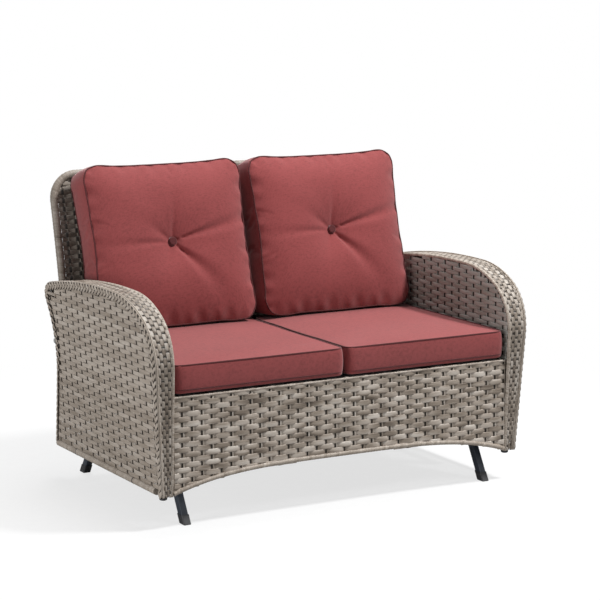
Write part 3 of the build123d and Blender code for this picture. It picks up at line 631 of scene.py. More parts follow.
wicker = resin("wicker", WICKER_STOPS, 0.35)
# A lighter copy of the wicker, painted light for the front skirt, which the lamps light less; its stronger
# patches are tone of its own
painted_light_skirt_wicker = resin("painted_light_skirt_wicker", toned(1.07), 1.3)
# A darker copy of the wicker, painted shade for the arm band's top, which the high key lights strongly
painted_shade_band_wicker = resin("painted_shade_band_wicker", toned(0.82), 1.3)
# A darker, cooler copy of the wicker, painted shade for the inner panels, which face away from the key
# light
painted_shade_inner_wicker = resin("painted_shade_inner_wicker", toned(0.76, 0.87, 0.93), 0.3, roughness=0.32)
wrapped = resin("wrapped_tube", WICKER_STOPS, 0.45)
# A darker copy of the wicker, painted shade for the back tube and the panel behind the cushions
painted_shade_back_wicker = resin("painted_shade_back_wicker", toned(0.66), 0.6)
frame_paint = coat("frame_paint", (0.040, 0.034, 0.030))
base_paint = coat("base_paint", (0.020, 0.026, 0.038), roughness=0.5)
black_plastic = coat("black_plastic", (0.018, 0.018, 0.020), roughness=0.55)
webbing = cloth("webbing", (0.020, 0.019, 0.019))
zinc = coat("zinc", (0.55, 0.55, 0.53), roughness=0.35, metallic=1.0)
fabric = cloth("cushion_fabric", (0.245, 0.052, 0.0515))
piping = cloth("piping_fabric", (0.085, 0.017, 0.018))


def skin_outline(inset, bottom, foot_points=5, tail_points=20):
    """The arm's outline cut off level at the bottom, as pairs of y and height."""
    y, z = arm_path(inset, OUTLINE_STEP)[:, :2].T
    above = z > bottom
    front = np.interp(bottom, z[:foot_points], y[:foot_points])
    rear = np.interp(bottom, z[::-1][:tail_points], y[::-1][:tail_points])
    return np.column_stack([
        np.concatenate([[front], y[above], [rear]]),
        np.concatenate([[bottom], z[above], [bottom]]),
    ])


def side_skin(side):
    """The outer skin, with its notch at the rear top corner and a wrapped bar under the notch."""
    sign = SIDES[side]
    normal = np.array([sign * math.cos(SIDE_LEAN), 0, -math.sin(SIDE_LEAN)])
    up = np.array([sign * math.sin(SIDE_LEAN), 0, math.cos(SIDE_LEAN)])
    outline = skin_outline(SIDE_SKIN_INSET, SIDE_SKIN_BOTTOM / math.cos(SIDE_LEAN))
    notch = np.flatnonzero((outline[:, 0] > CORNER_GAP[0]) & (outline[:, 1] > CORNER_GAP[1]))
    first, last = notch[0], notch[-1]
    corner = [(CORNER_GAP[0], outline[first, 1]), CORNER_GAP]
    outline = np.concatenate([outline[:first], corner, outline[last + 1:]])
    made = weave(outline, lambda u, v, w: side_place(side, u, v, SIDE_SKIN_OFFSET + w), SIDE_STAKE_PITCH,
                 REARWARD, lambda path: normal, lambda path: up)
    y = np.linspace(CORNER_GAP[0] - NOTCH_BAR_PAST[0], outline[first + 2, 0] + NOTCH_BAR_PAST[1], 8)
    bar = side_place(side, y, CORNER_GAP[1] + NOTCH_BAR_LIFT, SIDE_SKIN_OFFSET)
    made.tube(bar, NOTCH_BAR_RADIUS, "notch_bar", seed=0.9)
    made.build(f"{side}_side_weave", wicker, "wicker", [f"{side}_side_skin"])


def inner_skin(side):
    sign = SIDES[side]
    outline = skin_outline(INNER_SKIN_INSET, INNER_SKIN_BOTTOM)
    outline[:, 1] = np.clip(outline[:, 1], None, INNER_SKIN_TOP)
    made = weave(outline, lambda u, v, w: spot((INNER_SKIN_X - w) * sign, u, v), SIDE_STAKE_PITCH,
                 REARWARD, lambda path: -sign * RIGHT, lambda path: UP)
    made.build(f"{side}_inner_weave", painted_shade_inner_wicker, "wicker", [f"{side}_inner_skin"])


def shortened(path, length):
    """An arm path that stops a length before its end."""
    return path[path[:, 3] < path[-1, 3] - length]


def arm_band(side):
    """Strands that run the length of the arm, over and under short cross stakes."""
    sign = SIDES[side]
    y, z, heading, run = shortened(arm_path(BAND_INSET, BAND_STEP), BAND_SHORT).T
    out = spot(0.0, -np.sin(heading), np.cos(heading))
    outer = SIDE_ORIGIN + z * math.tan(SIDE_LEAN) + BAND_PAST_OUTSIDE
    inner = np.full_like(outer, EDGE_ROD_X - BAND_PAST_ROD)
    band = Strands()
    width = (outer - inner) / BAND_COLUMNS
    for c in range(BAND_COLUMNS):
        x = inner + width * (c + 0.5)
        # One share both dips each strand behind the cross stakes and paints shade into its colour there
        dip_and_painted_shade = dip(run, CROSS_PITCH, c, BAND_SLOT)
        half = width / 2 * (BAND_FILL - BAND_TAPER * dip(run, CROSS_PITCH, c, BAND_TAPER_SPREAD))
        centre = spot(x * sign, y, z) + out * (BAND_WAVE * (1 - 2 * dip_and_painted_shade))[:, None]
        band.ribbon(centre, sign * RIGHT, out, half, along=run + rng.random(), dip_and_painted_shade=dip_and_painted_shade)
    for s in np.arange(CROSS_PITCH, run[-1], CROSS_PITCH):
        k = min(np.searchsorted(run, s), len(run) - 1)
        centre = spot(np.linspace(inner[k], outer[k], 4) * sign, y[k], z[k])
        tangent = np.array([0.0, math.cos(heading[k]), math.sin(heading[k])])
        # A darker tone and half painted shade on each cross stake, standing in for the shade in the slots
        seed = CROSS_SEED_SHARE * rng.random()
        band.ribbon(centre, tangent, out[k], CROSS_SIZE, CROSS_SIZE, seed=seed, dip_and_painted_shade=HALF_PAINTED_SHADE)
    band.build(f"{side}_arm_weave", painted_shade_band_wicker, "wicker", [f"{side}_arm_band"])


def arm_edge(side):
    """The thin wrapped rod along the arm's inner edge."""
    path = shortened(arm_path(EDGE_ROD_INSET), EDGE_ROD_SHORT)
    rod = Strands()
    points = spot(EDGE_ROD_X * SIDES[side], path[:, 0], path[:, 1])
    rod.tube(points, EDGE_ROD_RADIUS, "arm_edge", sides=12, seed=0.9)
    rod.build(f"{side}_arm_edge", wrapped, "wrapped_tube", [f"{side}_arm_inner_edge"])


def side_loop(side):
    """The wrapped loop, the rail below it, and the plait that covers its outer shoulder."""
    path = arm_path(LOOP_INSET)
    loop = Strands()
    loop.tube(side_place(side, path[:, 0], path[:, 1]), LOOP_RADIUS - LOOP_SLACK, "loop")
    rail_x = (SIDE_ORIGIN + RAIL_HEIGHT * math.tan(SIDE_LEAN)) * SIDES[side]
    loop.tube(spot(rail_x, np.linspace(*RAIL_ENDS, 60), RAIL_HEIGHT), RAIL_RADIUS, "rail", sides=16)
    plait(loop, side)
    loop.build(f"{side}_loop_plait", wrapped, "wrapped_tube", [f"{side}_side_loop"])
    clips = Strands()
    for share in RAIL_CLIP_SHARES:
        middle = RAIL_ENDS[0] + share * (RAIL_ENDS[1] - RAIL_ENDS[0])
        ring = spot(rail_x, np.array([middle - RAIL_CLIP_HALF, middle + RAIL_CLIP_HALF]), RAIL_HEIGHT)
        clips.tube(ring, RAIL_RADIUS + RAIL_CLIP_RISE, sides=16)
    clips.build(f"{side}_rail_clips", black_plastic, "black_plastic")


def brim(side, at, down, lift=0.0):
    """A point on the arm's outer shoulder and its normal.

    at is the run along the arm, and down is the way over the shoulder and down the side.
    """
    y, h, heading, run = BRIM_PATH.T
    y, h, heading = np.interp(at, run, y), np.interp(at, run, h), np.interp(at, run, heading)
    turn = np.clip(down / LOOP_RADIUS, 0, math.pi / 2)
    past = np.clip(down - LOOP_RADIUS * math.pi / 2, 0, None)
    inset = LOOP_INSET - (LOOP_RADIUS + lift) * np.cos(turn) + past
    w = (LOOP_RADIUS + lift) * np.sin(turn)
    point = side_place(side, y + np.sin(heading) * inset, h - np.cos(heading) * inset, w)
    away = side_place(side, -np.sin(heading) * np.cos(turn), np.cos(heading) * np.cos(turn), np.sin(turn))
    return point, away - side_place(side, 0, 0, 0)


def plait_width(at, end):
    """The plait widens up the front, and narrows again down the rear edge."""
    grow = np.clip(at / BRAID_GROWS_OVER, 0, 1)
    shrink = np.clip((at - (end - BRAID_SHRINKS_BEFORE)) / BRAID_SHRINKS_OVER, 0, 1)
    return (BRAID_WIDTH[0] + (BRAID_WIDTH[1] - BRAID_WIDTH[0]) * grow) * (1 - BRAID_SHRINKS_BY * shrink)


def plait(loop, side):
    """Two rows of slanted strands that meet in a line, and two thin cords along their upper edge."""
    end = BRIM_PATH[-1, 3]
    for down, radius in BRIM_CORDS:
        at = np.arange(BRIM_STEP, end - BRIM_CORD_SHORT, BRIM_STEP)
        points = brim(side, at, np.full_like(at, down), PLAIT_LIFT)[0]
        loop.tube(points, radius, sides=8, seed=0.95)
    # Dark strips under the plait: painted shade that shows in the gaps between its strands
    at = np.arange(0.0, end, BACKING_STEP)
    for share in BACKING_SHARES:
        down = PLAIT_TOP + share * (plait_width(at, end) - PLAIT_TOP)
        points, away = brim(side, at, down, -PLAIT_LIFT)
        across = unit(np.cross(away, np.gradient(points, axis=0)))
        loop.ribbon(points, across, away, BACKING_HALF, BACKING_THICK, dip_and_painted_shade=BACKING_PAINTED_SHADE)
    for s in np.arange(PLAIT_ENDS[0], end - PLAIT_ENDS[1], PLAIT_PITCH):
        width = plait_width(s, end)
        middle = PLAIT_TOP + 0.5 * (width - PLAIT_TOP)
        for row in (-1, 1):
            t = np.linspace(*PLAIT_SHARES, 7)
            at = np.clip(s + PLAIT_SLANT * t, 0, end)
            arched = np.sin(math.pi * np.clip(t, 0, 1))
            down = middle + row * (width - middle) * t
            points, away = brim(side, at, down, PLAIT_LIFT + PLAIT_RISE * arched)
            across = unit(np.cross(away, unit(np.gradient(points, axis=0))))
            half = PLAIT_HALF * (0.7 + 0.3 * arched)
            # Painted shade on the ends that tuck under the next strands
            loop.ribbon(points, across, away, half, PLAIT_THICK, dip_and_painted_shade=HALF_PAINTED_SHADE * (np.abs(t - 0.5) > 0.5))


def under_top(x, low, top):
    """The outline of a skirt: level along its top, and an arch below."""
    return np.column_stack([np.concatenate([x, x[::-1]]), np.concatenate([low, np.full_like(low, top)])])


def front_skirt():
    x = np.linspace(-SKIRT_HALF, SKIRT_HALF, 80)
    low = arch(x, SKIRT_HALF, ARCH_CROWN, ARCH_DROP)
    outline = under_top(x, low - ROD_OVERLAP, SKIRT_TOP)
    made = weave(outline, lambda u, v, w: spot(u, SKIRT_Y - w, v), SKIRT_STAKE_PITCH, RIGHT,
                 lambda path: -REARWARD, lambda path: UP, row=SKIRT_ROW_PITCH, slot=0.0038, painted_shade_shift=0.0042)
    made.build("front_skirt_weave", painted_light_skirt_wicker, "wicker", ["front_skirt"])
    rod = Strands()
    rod.tube(spot(x, SKIRT_Y, low), ARCH_ROD_RADIUS, "arch_rod")
    rim = spot(x, SKIRT_Y, SKIRT_TOP - SKIRT_RIM_DROP)
    rod.tube(rim, SKIRT_RIM_RADIUS, "skirt_rim", sides=12, seed=0.9)
    rod.build("front_arch_wrap", wrapped, "wrapped_tube", ["front_arch_rod"])


def rear_skirt():
    slope = math.tan(REAR_TAIL_SLOPE)
    x = np.linspace(-REAR_SKIRT_HALF, REAR_SKIRT_HALF, 80)
    low = arch(x, REAR_SKIRT_HALF, REAR_ARCH_CROWN, REAR_ARCH_DROP)

    def place(u, v, w):
        return spot(u, REAR_SKIRT_Y + (REAR_SKIRT_TOP - v) * slope + w, v)

    normal = np.array([0.0, math.cos(REAR_TAIL_SLOPE), math.sin(REAR_TAIL_SLOPE)])
    up = np.array([0.0, -math.sin(REAR_TAIL_SLOPE), math.cos(REAR_TAIL_SLOPE)])
    outline = under_top(x, low - ROD_OVERLAP, REAR_SKIRT_TOP)
    made = weave(outline, place, STAKE_PITCH, RIGHT, lambda path: normal, lambda path: up)
    made.build("rear_skirt_weave", wicker, "wicker", ["rear_skirt"])
    rod = Strands()
    rod.tube(place(x, low, 0.0), ARCH_ROD_RADIUS, "arch_rod")
    rod.build("rear_arch_wrap", wrapped, "wrapped_tube", ["rear_arch_rod"])


def back():
    """The bent tube of the back, and the panel woven inside it."""
    z = np.linspace(BACK_FOOT, BACK_BEND[1], 60)
    turn = np.linspace(0, math.pi / 2, 16)[1:]
    flat_x = np.concatenate([np.full_like(z, BACK_HALF), BACK_HALF - BACK_CORNER * (1 - np.cos(turn))])
    flat_z = np.concatenate([z, BACK_BEND[1] + BACK_CORNER * np.sin(turn) * math.cos(BACK_RECLINE)])
    half = spot(flat_x, back_y(flat_z), flat_z)
    tube = Strands()
    tube.tube(np.concatenate([half, half[::-1] * np.array([-1, 1, 1])]), BACK_RADIUS, "back", sides=16)
    tube.build("back_frame_wrap", painted_shade_back_wicker, "wrapped_tube", ["back_frame"])

    turn = np.linspace(0, math.pi / 2, 12)
    edge_x = np.concatenate([[PANEL_HALF], PANEL_HALF - PANEL_CORNER * (1 - np.cos(turn))])
    edge_z = np.concatenate([[PANEL_BOTTOM], PANEL_TOP - PANEL_CORNER + PANEL_CORNER * np.sin(turn)])
    edge = np.column_stack([edge_x, edge_z])
    outline = np.concatenate([edge, edge[::-1] * np.array([-1, 1])])

    def place(u, v, w):
        lean, size = back_lean(v)
        return spot(u, back_y(v) + w / size, v - w * lean / size)

    def normal(path):
        lean, size = back_lean(path[:, 2])
        return spot(0.0, 1 / size, -lean / size)

    def up(path):
        n = normal(path)
        return spot(n[:, 0], -n[:, 2], n[:, 1])

    made = weave(outline, place, STAKE_PITCH, RIGHT, normal, up, slot=0.0042, lap=0.12, steps=12)
    made.build("back_weave", painted_shade_back_wicker, "wicker", ["back_panel"])


# Cushions. A pad lies flat in its own coordinates, with its upper seam at height 0.
CORD_RADIUS = 0.0024
CORD_SEEK = 0.012
RING_COUNT = 22
SMALLEST_RING_SHARE = 0.02
WALL_RING_COUNT = 8
WALL_BULGE_SHARE = 0.010
CROWN_POWER = 3.2
VOXEL = 0.006
PRESSURE = 4.0
SWELL_FRAMES = 20

SEAT_BOXING = 0.080
SEAT_MARGIN = np.array([0.002, 0.002])
SEAT_CROWNS = (0.008, 0.003)
SEAT_SWELL = 0.006
SEAT_CROWN_TOP = 0.012
SEAT_CROWN_BOTTOM = 0.004
SEAT_FRONT_PAST = 0.003
SEAT_PAD_LIFT = 0.006
SEAT_LOW_CORD = 0.010
# how firmly the seams hold the cloth, and how far from them
SEAT_SEAM_HOLD = (1.8, 0.010)

BACK_BOXING = 0.105
BACK_MARGIN = np.array([0.007, 0.005])
BACK_CROWNS = (0.037, 0.022)
BACK_SWELL = 0.024
BACK_PAD_LENGTH = 0.515
BACK_PAD_LEAN = math.radians(15.4)
BACK_PAD_FOOT = (0.1184, 0.477)
BACK_PAD_LOWEST = 0.4775
BACK_CROWN_TOP = 0.057
BACK_CROWN_BOTTOM = 0.033
BACK_SEAM_HOLD = (0.45, 0.009)
# points above these heights are the front of a back pad: when it is sewn, held and tufted
SEWN_ABOVE = -0.01
HELD_ABOVE = -0.02
TUFTED_ABOVE = -0.004
# the sag of a back pad's lower edge: at the corners, more in the middle, and how far up it fades
SAG = (0.005, 0.012, 0.05)
PLUMP = 1.22
# the hollow that is sewn in round the button: depth and reach of its narrow and its wide part
BUTTON_PINCH = (0.016, 0.030)
BUTTON_HOLLOW = (0.018, 0.085)
BUTTON_HOLD = 0.017
BUTTON_DEPTH = 0.003
# the bowl round the button: depth, reach, softness of its rim, and where it ends
BOWL_DEPTH = 0.055
BOWL_REACH = 0.078
BOWL_SOFT = 0.008
BOWL_END = 0.21
# folds pulled in by the button: angle in degrees, depth, reach and spread in radians
PULLS = ((13, 0.011, 0.26, 0.09), (84, 0.006, 0.14, 0.14), (-48, 0.015, 0.20, 0.17),
         (146, 0.006, 0.10, 0.20), (181, 0.006, 0.22, 0.09), (-118, 0.004, 0.12, 0.30))
PULL_START = 0.022
# puckers beside the seams: depth, way in from the edge and spread, and how fast their two waves change
PUCKER = (0.0034, 0.022, 0.02)
PUCKER_WAVES = (96, 31)


def pad_outline(width, length, corner, draw_in, count=168):
    """A rounded rectangle whose sides draw in between the corners."""
    points = []
    corners = ((width - corner, length - corner, 0), (corner, length - corner, 90),
               (corner, corner, 180), (width - corner, corner, 270))
    for x, y, start in corners:
        for a in np.radians(np.linspace(start, start + 90, 8)):
            points.append((x + corner * math.cos(a), y + corner * math.sin(a), 0))
    points.append(points[0])
    flat = resample(points, (2 * width + 2 * length) / count)[:-1, :2]
    share_x = flat[:, 0] / width
    share_y = flat[:, 1] / length
    near_x = np.abs(2 * share_x - 1) > np.abs(2 * share_y - 1) * 0.999
    bow = np.where(near_x, 4 * share_y * (1 - share_y), 4 * share_x * (1 - share_x))
    towards_x = np.where(near_x, np.sign(0.5 - share_x), 0)
    towards_y = np.where(near_x, 0, np.sign(0.5 - share_y))
    return flat + np.column_stack([towards_x, towards_y]) * (bow * draw_in)[:, None]


def pad_mesh(width, length, margin, boxing, crowns, corner, draw_in):
    """A closed pad: crowns above and below, and a boxing wall between. Also gives its seam line."""
    width, length = width - 2 * margin[0], length - 2 * margin[1]
    rim = pad_outline(width, length, corner, draw_in)
    middle = np.array([width / 2, length / 2])

    def ring(share, height):
        return np.column_stack([middle + (rim - middle) * share, np.full(len(rim), height)])

    above, below = crowns
    rings = []
    for t in np.linspace(SMALLEST_RING_SHARE, 1, RING_COUNT):
        rings.append(ring(t, above * (1 - t ** CROWN_POWER)))
    for t in np.linspace(0, 1, WALL_RING_COUNT)[1:-1]:
        rings.append(ring(1 + WALL_BULGE_SHARE * math.sin(math.pi * t), -boxing * t))
    for t in np.linspace(1, SMALLEST_RING_SHARE, RING_COUNT):
        rings.append(ring(t, -boxing - below * (1 - t ** CROWN_POWER)))
    return np.array(rings) + np.array([*margin, 0]), rim + margin


def places(mesh):
    flat = np.empty(len(mesh.vertices) * 3, np.float32)
    mesh.vertices.foreach_get("co", flat)
    return flat.reshape(-1, 3).astype(float)


def swell(points, held, cap):
    """Stuffs a closed pad: an even mesh is blown up as cloth, and no point moves further than cap.

    held(points) is the share by which each point is held in its place.
    """
    blank = Strands()
    blank.grid(points, np.zeros_like(points))
    shell = blank.build("pad_blank", fabric, "cushion_fabric")
    remesh = shell.modifiers.new("even", "REMESH")
    remesh.mode = "VOXEL"
    remesh.voxel_size = VOXEL
    graph = bpy.context.evaluated_depsgraph_get()
    mesh = bpy.data.meshes.new_from_object(shell.evaluated_get(graph))
    bpy.data.objects.remove(shell)
    start = places(mesh)
    pad = bpy.data.objects.new("pad_trial", mesh)
    scene.collection.objects.link(pad)
    group = pad.vertex_groups.new(name="held")
    weights = held(start)
    for index in np.flatnonzero(weights > 0.01):
        group.add([int(index)], float(weights[index]), "REPLACE")
    stuffing = pad.modifiers.new("stuffing", "CLOTH")
    stuffing.settings.vertex_group_mass = "held"
    stuffing.settings.use_pressure = True
    stuffing.settings.uniform_pressure_force = PRESSURE
    stuffing.settings.effector_weights.gravity = 0
    stuffing.settings.quality = 4
    stuffing.point_cache.frame_start = 1
    stuffing.point_cache.frame_end = SWELL_FRAMES
    for step in range(1, SWELL_FRAMES + 1):
        scene.frame_set(step)
    graph = bpy.context.evaluated_depsgraph_get()
    swollen = bpy.data.meshes.new_from_object(pad.evaluated_get(graph))
    move = places(swollen) - start
    scene.frame_set(1)
    bpy.data.objects.remove(pad)
    bpy.data.meshes.remove(swollen)
    size = np.linalg.norm(move, axis=1)
    return mesh, start + move * np.minimum(1, cap / np.maximum(size, 1e-9))[:, None]


def near_seams(points, rim, boxing, reach):
    """1 on the two seam lines of a pad, falling to 0 at reach."""
    nearest = np.full(len(points), 1.0)
    for depth in (0.0, -boxing):
        for x, y in rim:
            away = (points[:, 0] - x) ** 2 + (points[:, 1] - y) ** 2 + (points[:, 2] - depth) ** 2
            nearest = np.minimum(nearest, away)
    return np.clip(1 - np.sqrt(nearest) / reach, 0, 1)


def flatten(height, top, bottom, base):
    """Presses the crowns of a pad, above 0 and below base, evenly to heights of top and bottom at most."""
    over, under = height.max(), (base - height).max()
    height = np.where(height > 0, height * min(1, top / over), height)
    return np.where(height < base, base - (base - height) * min(1, (base - bottom) / under), height)


def cushion(side, kind, mesh, local, rim, seams, place, mirrored=False):
    """A pad from a swollen mesh, with cord along its seams, set in the frame by place.

    seams are pairs: the height of a seam, and how far above it the cord's place is looked for.
    mirrored turns the faces, for a place that mirrors the pad.
    """
    name = f"{side}_{kind}_pad"
    made = mesh.copy()
    made.name = name
    made.vertices.foreach_set("co", place(local).astype(np.float32).ravel())
    if mirrored:
        made.flip_normals()
    made.polygons.foreach_set("use_smooth", np.ones(len(made.polygons), bool))
    made.update()
    made.materials.clear()
    pad = dress(bpy.data.objects.new(name, made), fabric, [f"{side}_{kind}_cushion"])
    finer = pad.modifiers.new("finer", "SUBSURF")
    finer.levels = 1
    finer.render_levels = 1
    surface = BVHTree.FromPolygons([Vector(v) for v in local], [tuple(f.vertices) for f in mesh.polygons])
    away = rim - rim.mean(axis=0)
    sought = rim + away / np.linalg.norm(away, axis=1)[:, None] * CORD_SEEK
    cords = Strands()
    for depth, lift in seams:
        line = np.array([surface.find_nearest(Vector((x, y, depth + lift)))[0] for x, y in sought])
        for _ in range(2):
            line = (np.roll(line, 1, axis=0) + 2 * line + np.roll(line, -1, axis=0)) / 4
        line = place(line)
        cords.tube(np.concatenate([line, line[:2]]), CORD_RADIUS, sides=8)
    cords.build(f"{name}_piping", piping, "cushion_fabric")


def seat_cushions():
    low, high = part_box("left_seat_cushion")
    width, length = high.x - low.x, high.y - low.y
    points, rim = pad_mesh(width, length, SEAT_MARGIN, SEAT_BOXING, SEAT_CROWNS, corner=0.026,
                           draw_in=0.003)

    def held(p):
        firm, reach = SEAT_SEAM_HOLD
        return np.minimum(1, firm * near_seams(p, rim, SEAT_BOXING, reach))

    mesh, local = swell(points, held, SEAT_SWELL)
    local[:, 0] = np.clip(local[:, 0], 0, width)
    local[:, 1] = np.clip(local[:, 1], -SEAT_FRONT_PAST, length)
    local[:, 2] = flatten(local[:, 2], SEAT_CROWN_TOP, -SEAT_BOXING - SEAT_CROWN_BOTTOM, -SEAT_BOXING)
    seams = ((0.0, CORD_SEEK), (SEAT_LOW_CORD - SEAT_BOXING, 0.0))
    for side in SIDES:
        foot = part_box(f"{side}_seat_cushion")[0]
        corner = np.array([foot.x, foot.y, foot.z + SEAT_PAD_LIFT + SEAT_BOXING])
        mirrored = side == "right"

        def place(p):
            x = width - p[..., 0] if mirrored else p[..., 0]
            return spot(x, p[..., 1], p[..., 2]) + corner

        cushion(side, "seat", mesh, local, rim, seams, place, mirrored)


def settle(flat, width):
    """Brings the lower edge of a back pad down on the seat, its corners less than its middle."""
    share = flat[:, 0] / width
    least, more, reach = SAG
    drop = least + more * np.clip(4 * share * (1 - share), 0, 1)
    moved = flat.copy()
    moved[:, 1] -= drop * np.exp(-np.clip(flat[:, 1] - drop, 0, None) / reach)
    return moved


def tuft(local, width, length, button):
    """Shapes the front of a back pad: a bowl round its button, folds that run to it, and puckers."""
    x, y = local[:, 0] - button[0], local[:, 1] - button[1]
    near, angle = np.hypot(x, y), np.arctan2(y, x)
    fold = np.zeros(len(local))
    for degrees, depth, reach, spread in PULLS:
        turn = (angle - math.radians(degrees) + math.pi) % (2 * math.pi) - math.pi
        grown = 1 - np.exp(-(near / PULL_START) ** 2)
        fold += depth * np.exp(-(turn / spread) ** 2) * grown * np.exp(-(near / reach) ** 2)
    edge_x = np.minimum(local[:, 0], width - local[:, 0])
    edge_y = np.minimum(local[:, 1], length - local[:, 1])
    along = np.where(edge_x < edge_y, y, x)
    deep, way_in, spread = PUCKER
    pucker = deep * np.sin(along * PUCKER_WAVES[0] + 2) * np.sin(along * PUCKER_WAVES[1])
    pucker = pucker * np.exp(-((np.minimum(edge_x, edge_y) - way_in) / spread) ** 2)
    reach = BOWL_REACH * (1 + 0.14 * np.cos(angle - math.radians(55)) + 0.10 * np.cos(3 * angle + 1.2))
    bowl = BUTTON_DEPTH + BOWL_DEPTH * (1 - np.exp(-near / reach))
    height = np.where(local[:, 2] > 0, local[:, 2] * PLUMP, local[:, 2])
    height = flatten(height, BACK_CROWN_TOP, -BACK_BOXING - BACK_CROWN_BOTTOM, -BACK_BOXING)
    top = height > TUFTED_ABOVE
    lower = 0.5 * (height + bowl - np.sqrt((height - bowl) ** 2 + BOWL_SOFT ** 2))
    inner = np.clip(1 - near / BOWL_END, 0, 1) ** 0.5
    local[:, 2] = height + top * (inner * np.minimum(0, lower - height) - fold - pucker)


def back_cushions():
    low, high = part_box("left_back_cushion")
    width, length = high.x - low.x, BACK_PAD_LENGTH
    button = np.array([width / 2, length / 2])
    points, rim = pad_mesh(width, length, BACK_MARGIN, BACK_BOXING, BACK_CROWNS, corner=0.055,
                           draw_in=0.012)
    near = np.hypot(points[..., 0] - button[0], points[..., 1] - button[1])
    pinch = BUTTON_PINCH[0] * np.exp(-near / BUTTON_PINCH[1])
    hollow = BUTTON_HOLLOW[0] * np.exp(-(near / BUTTON_HOLLOW[1]) ** 2)
    points[..., 2] -= (points[..., 2] > SEWN_ABOVE) * (pinch + hollow)

    def held(p):
        sewn = (np.hypot(p[:, 0] - button[0], p[:, 1] - button[1]) < BUTTON_HOLD) & (p[:, 2] > HELD_ABOVE)
        firm, reach = BACK_SEAM_HOLD
        return np.maximum(1.0 * sewn, firm * near_seams(p, rim, BACK_BOXING, reach))

    mesh, local = swell(points, held, BACK_SWELL)
    local = settle(local, width)
    rim = settle(rim, width)
    tuft(local, width, length, button)
    local[:, 0] = np.clip(local[:, 0], 0, width)
    local[:, 1] = np.clip(local[:, 1], 0, length)
    up = np.array([0.0, math.sin(BACK_PAD_LEAN), math.cos(BACK_PAD_LEAN)])
    out = np.array([0.0, -math.cos(BACK_PAD_LEAN), math.sin(BACK_PAD_LEAN)])
    seams = ((0.0, CORD_SEEK), (-BACK_BOXING, -CORD_SEEK))
    for side in SIDES:
        corner = np.array([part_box(f"{side}_back_cushion")[0].x, *BACK_PAD_FOOT])

        def place(p):
            placed = corner + p[..., 0:1] * RIGHT
            placed = placed + p[..., 1:2] * up + p[..., 2:3] * out
            placed[..., 2] = np.maximum(placed[..., 2], BACK_PAD_LOWEST)
            return placed

        cushion(side, "back", mesh, local, rim, seams, place)


for side in SIDES:
    side_skin(side)
    inner_skin(side)
    arm_band(side)
    arm_edge(side)
    side_loop(side)
front_skirt()
rear_skirt()
back()
seat_cushions()
back_cushions()

# CAD pieces keep their own shape
FINISH = {
    "frame_paint": frame_paint,
    "base_paint": base_paint,
    "black_plastic": black_plastic,
    "webbing": webbing,
    "zinc": zinc,
    "wrapped_tube": wrapped,
    "cushion_fabric": piping,
    "wicker": wicker,
}
for part in frame["record"]["subparts"]:
    node = frame["nodes"][part["node"]]
    node.data.materials.clear()
    node.data.materials.append(FINISH[part["material_slot"]])

# A pale floor that takes shadows near the loveseat and fades to white around it
FLOOR_CORNERS = [(-9, -9, 0), (9, -9, 0), (9, 14, 0), (-9, 14, 0)]
FLOOR_TONE = (0.40, 0.40, 0.40, 1)
FADE_STOPS = [(0.18, (0.72, 0.72, 0.72)), (0.5, (1, 1, 1))]
FADE_SCALE = 0.25
SKY_TONE = (0.175, 0.18, 0.19, 1)
WHITE = (1, 1, 1, 1)
floor_mesh = bpy.data.meshes.new("floor")
floor_mesh.from_pydata(FLOOR_CORNERS, [], [(0, 1, 2, 3)])
floor = bpy.data.objects.new("floor", floor_mesh)
scene.collection.objects.link(floor)
floor_stuff, tree, shader = material("floor")
at = put(tree, "ShaderNodeTexCoord").outputs["Object"]
pale = ramp(tree, noise(tree, at, 30.0), [(0.3, (0.88, 0.88, 0.88)), (0.7, (0.92, 0.92, 0.92))])
shader.inputs["Roughness"].default_value = 0.9
glow = put(tree, "ShaderNodeEmission", [("Color", WHITE), ("Strength", 1.0)])
seen = put(tree, "ShaderNodeLightPath").outputs["Is Camera Ray"]
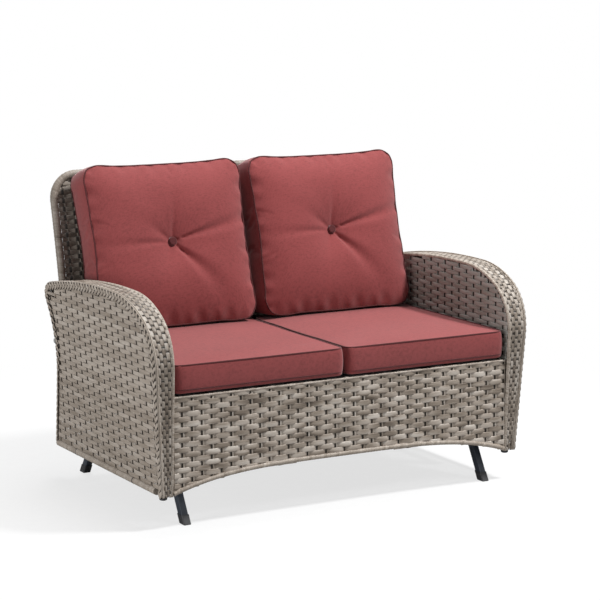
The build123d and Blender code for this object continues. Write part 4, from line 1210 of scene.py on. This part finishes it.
tree.links.new(mix(tree, seen, FLOOR_TONE, pale), shader.inputs["Base Color"])
reach = put(tree, "ShaderNodeVectorMath", [(0, at)], operation="LENGTH").outputs["Value"]
clear = ramp(tree, maths(tree, "MULTIPLY", reach, FADE_SCALE), FADE_STOPS)
fade = maths(tree, "MULTIPLY", seen, clear)
faded = put(tree, "ShaderNodeMixShader", [(0, fade), (1, shader.outputs[0]), (2, glow.outputs[0])])
tree.links.new(faded.outputs[0], tree.nodes["Material Output"].inputs[0])
floor_mesh.materials.append(floor_stuff)

# White behind the loveseat and in what it mirrors, and a dim sky for its light
scene.view_settings.view_transform = "Standard"
world = scene.world or bpy.data.worlds.new("world")
scene.world = world
world.use_nodes = True
sky = world.node_tree
background = sky.nodes["Background"]
rays = put(sky, "ShaderNodeLightPath").outputs
plain = maths(sky, "MAXIMUM", rays["Is Camera Ray"], rays["Is Glossy Ray"])
plain = maths(sky, "MAXIMUM", plain, rays["Is Transmission Ray"])
sky.links.new(mix(sky, plain, SKY_TONE, WHITE), background.inputs[0])
background.inputs[1].default_value = 1.0

LAMP_AIM = (0, 0, 0.4)


def lamp(name, place, size, power):
    light = bpy.data.lights.new(name, "AREA")
    light.shape = "DISK"
    light.size = size
    light.energy = power
    obj = bpy.data.objects.new(name, light)
    obj.location = place
    obj.rotation_mode = "QUATERNION"
    obj.rotation_quaternion = (Vector(LAMP_AIM) - Vector(place)).to_track_quat("-Z", "Y")
    scene.collection.objects.link(obj)


lamp("key", (2.35, -2.0, 5.05), 0.9, 350)
lamp("side", (-5.0, -0.9, 0.8), 1.6, 106)
lamp("top", (0.3, 0.9, 4.2), 2.0, 80)

camera_data = bpy.data.cameras.new("camera")
camera_data.sensor_width = 36
camera_data.lens = 130.0
camera_data.shift_x = 0.0172
camera_data.shift_y = -0.0021
camera = bpy.data.objects.new("camera", camera_data)
camera.location = (-3.1675, -5.6838, 1.6478)
camera.rotation_euler = (math.radians(90 - 9.547), 0, -math.radians(29.35))
scene.collection.objects.link(camera)
scene.camera = camera
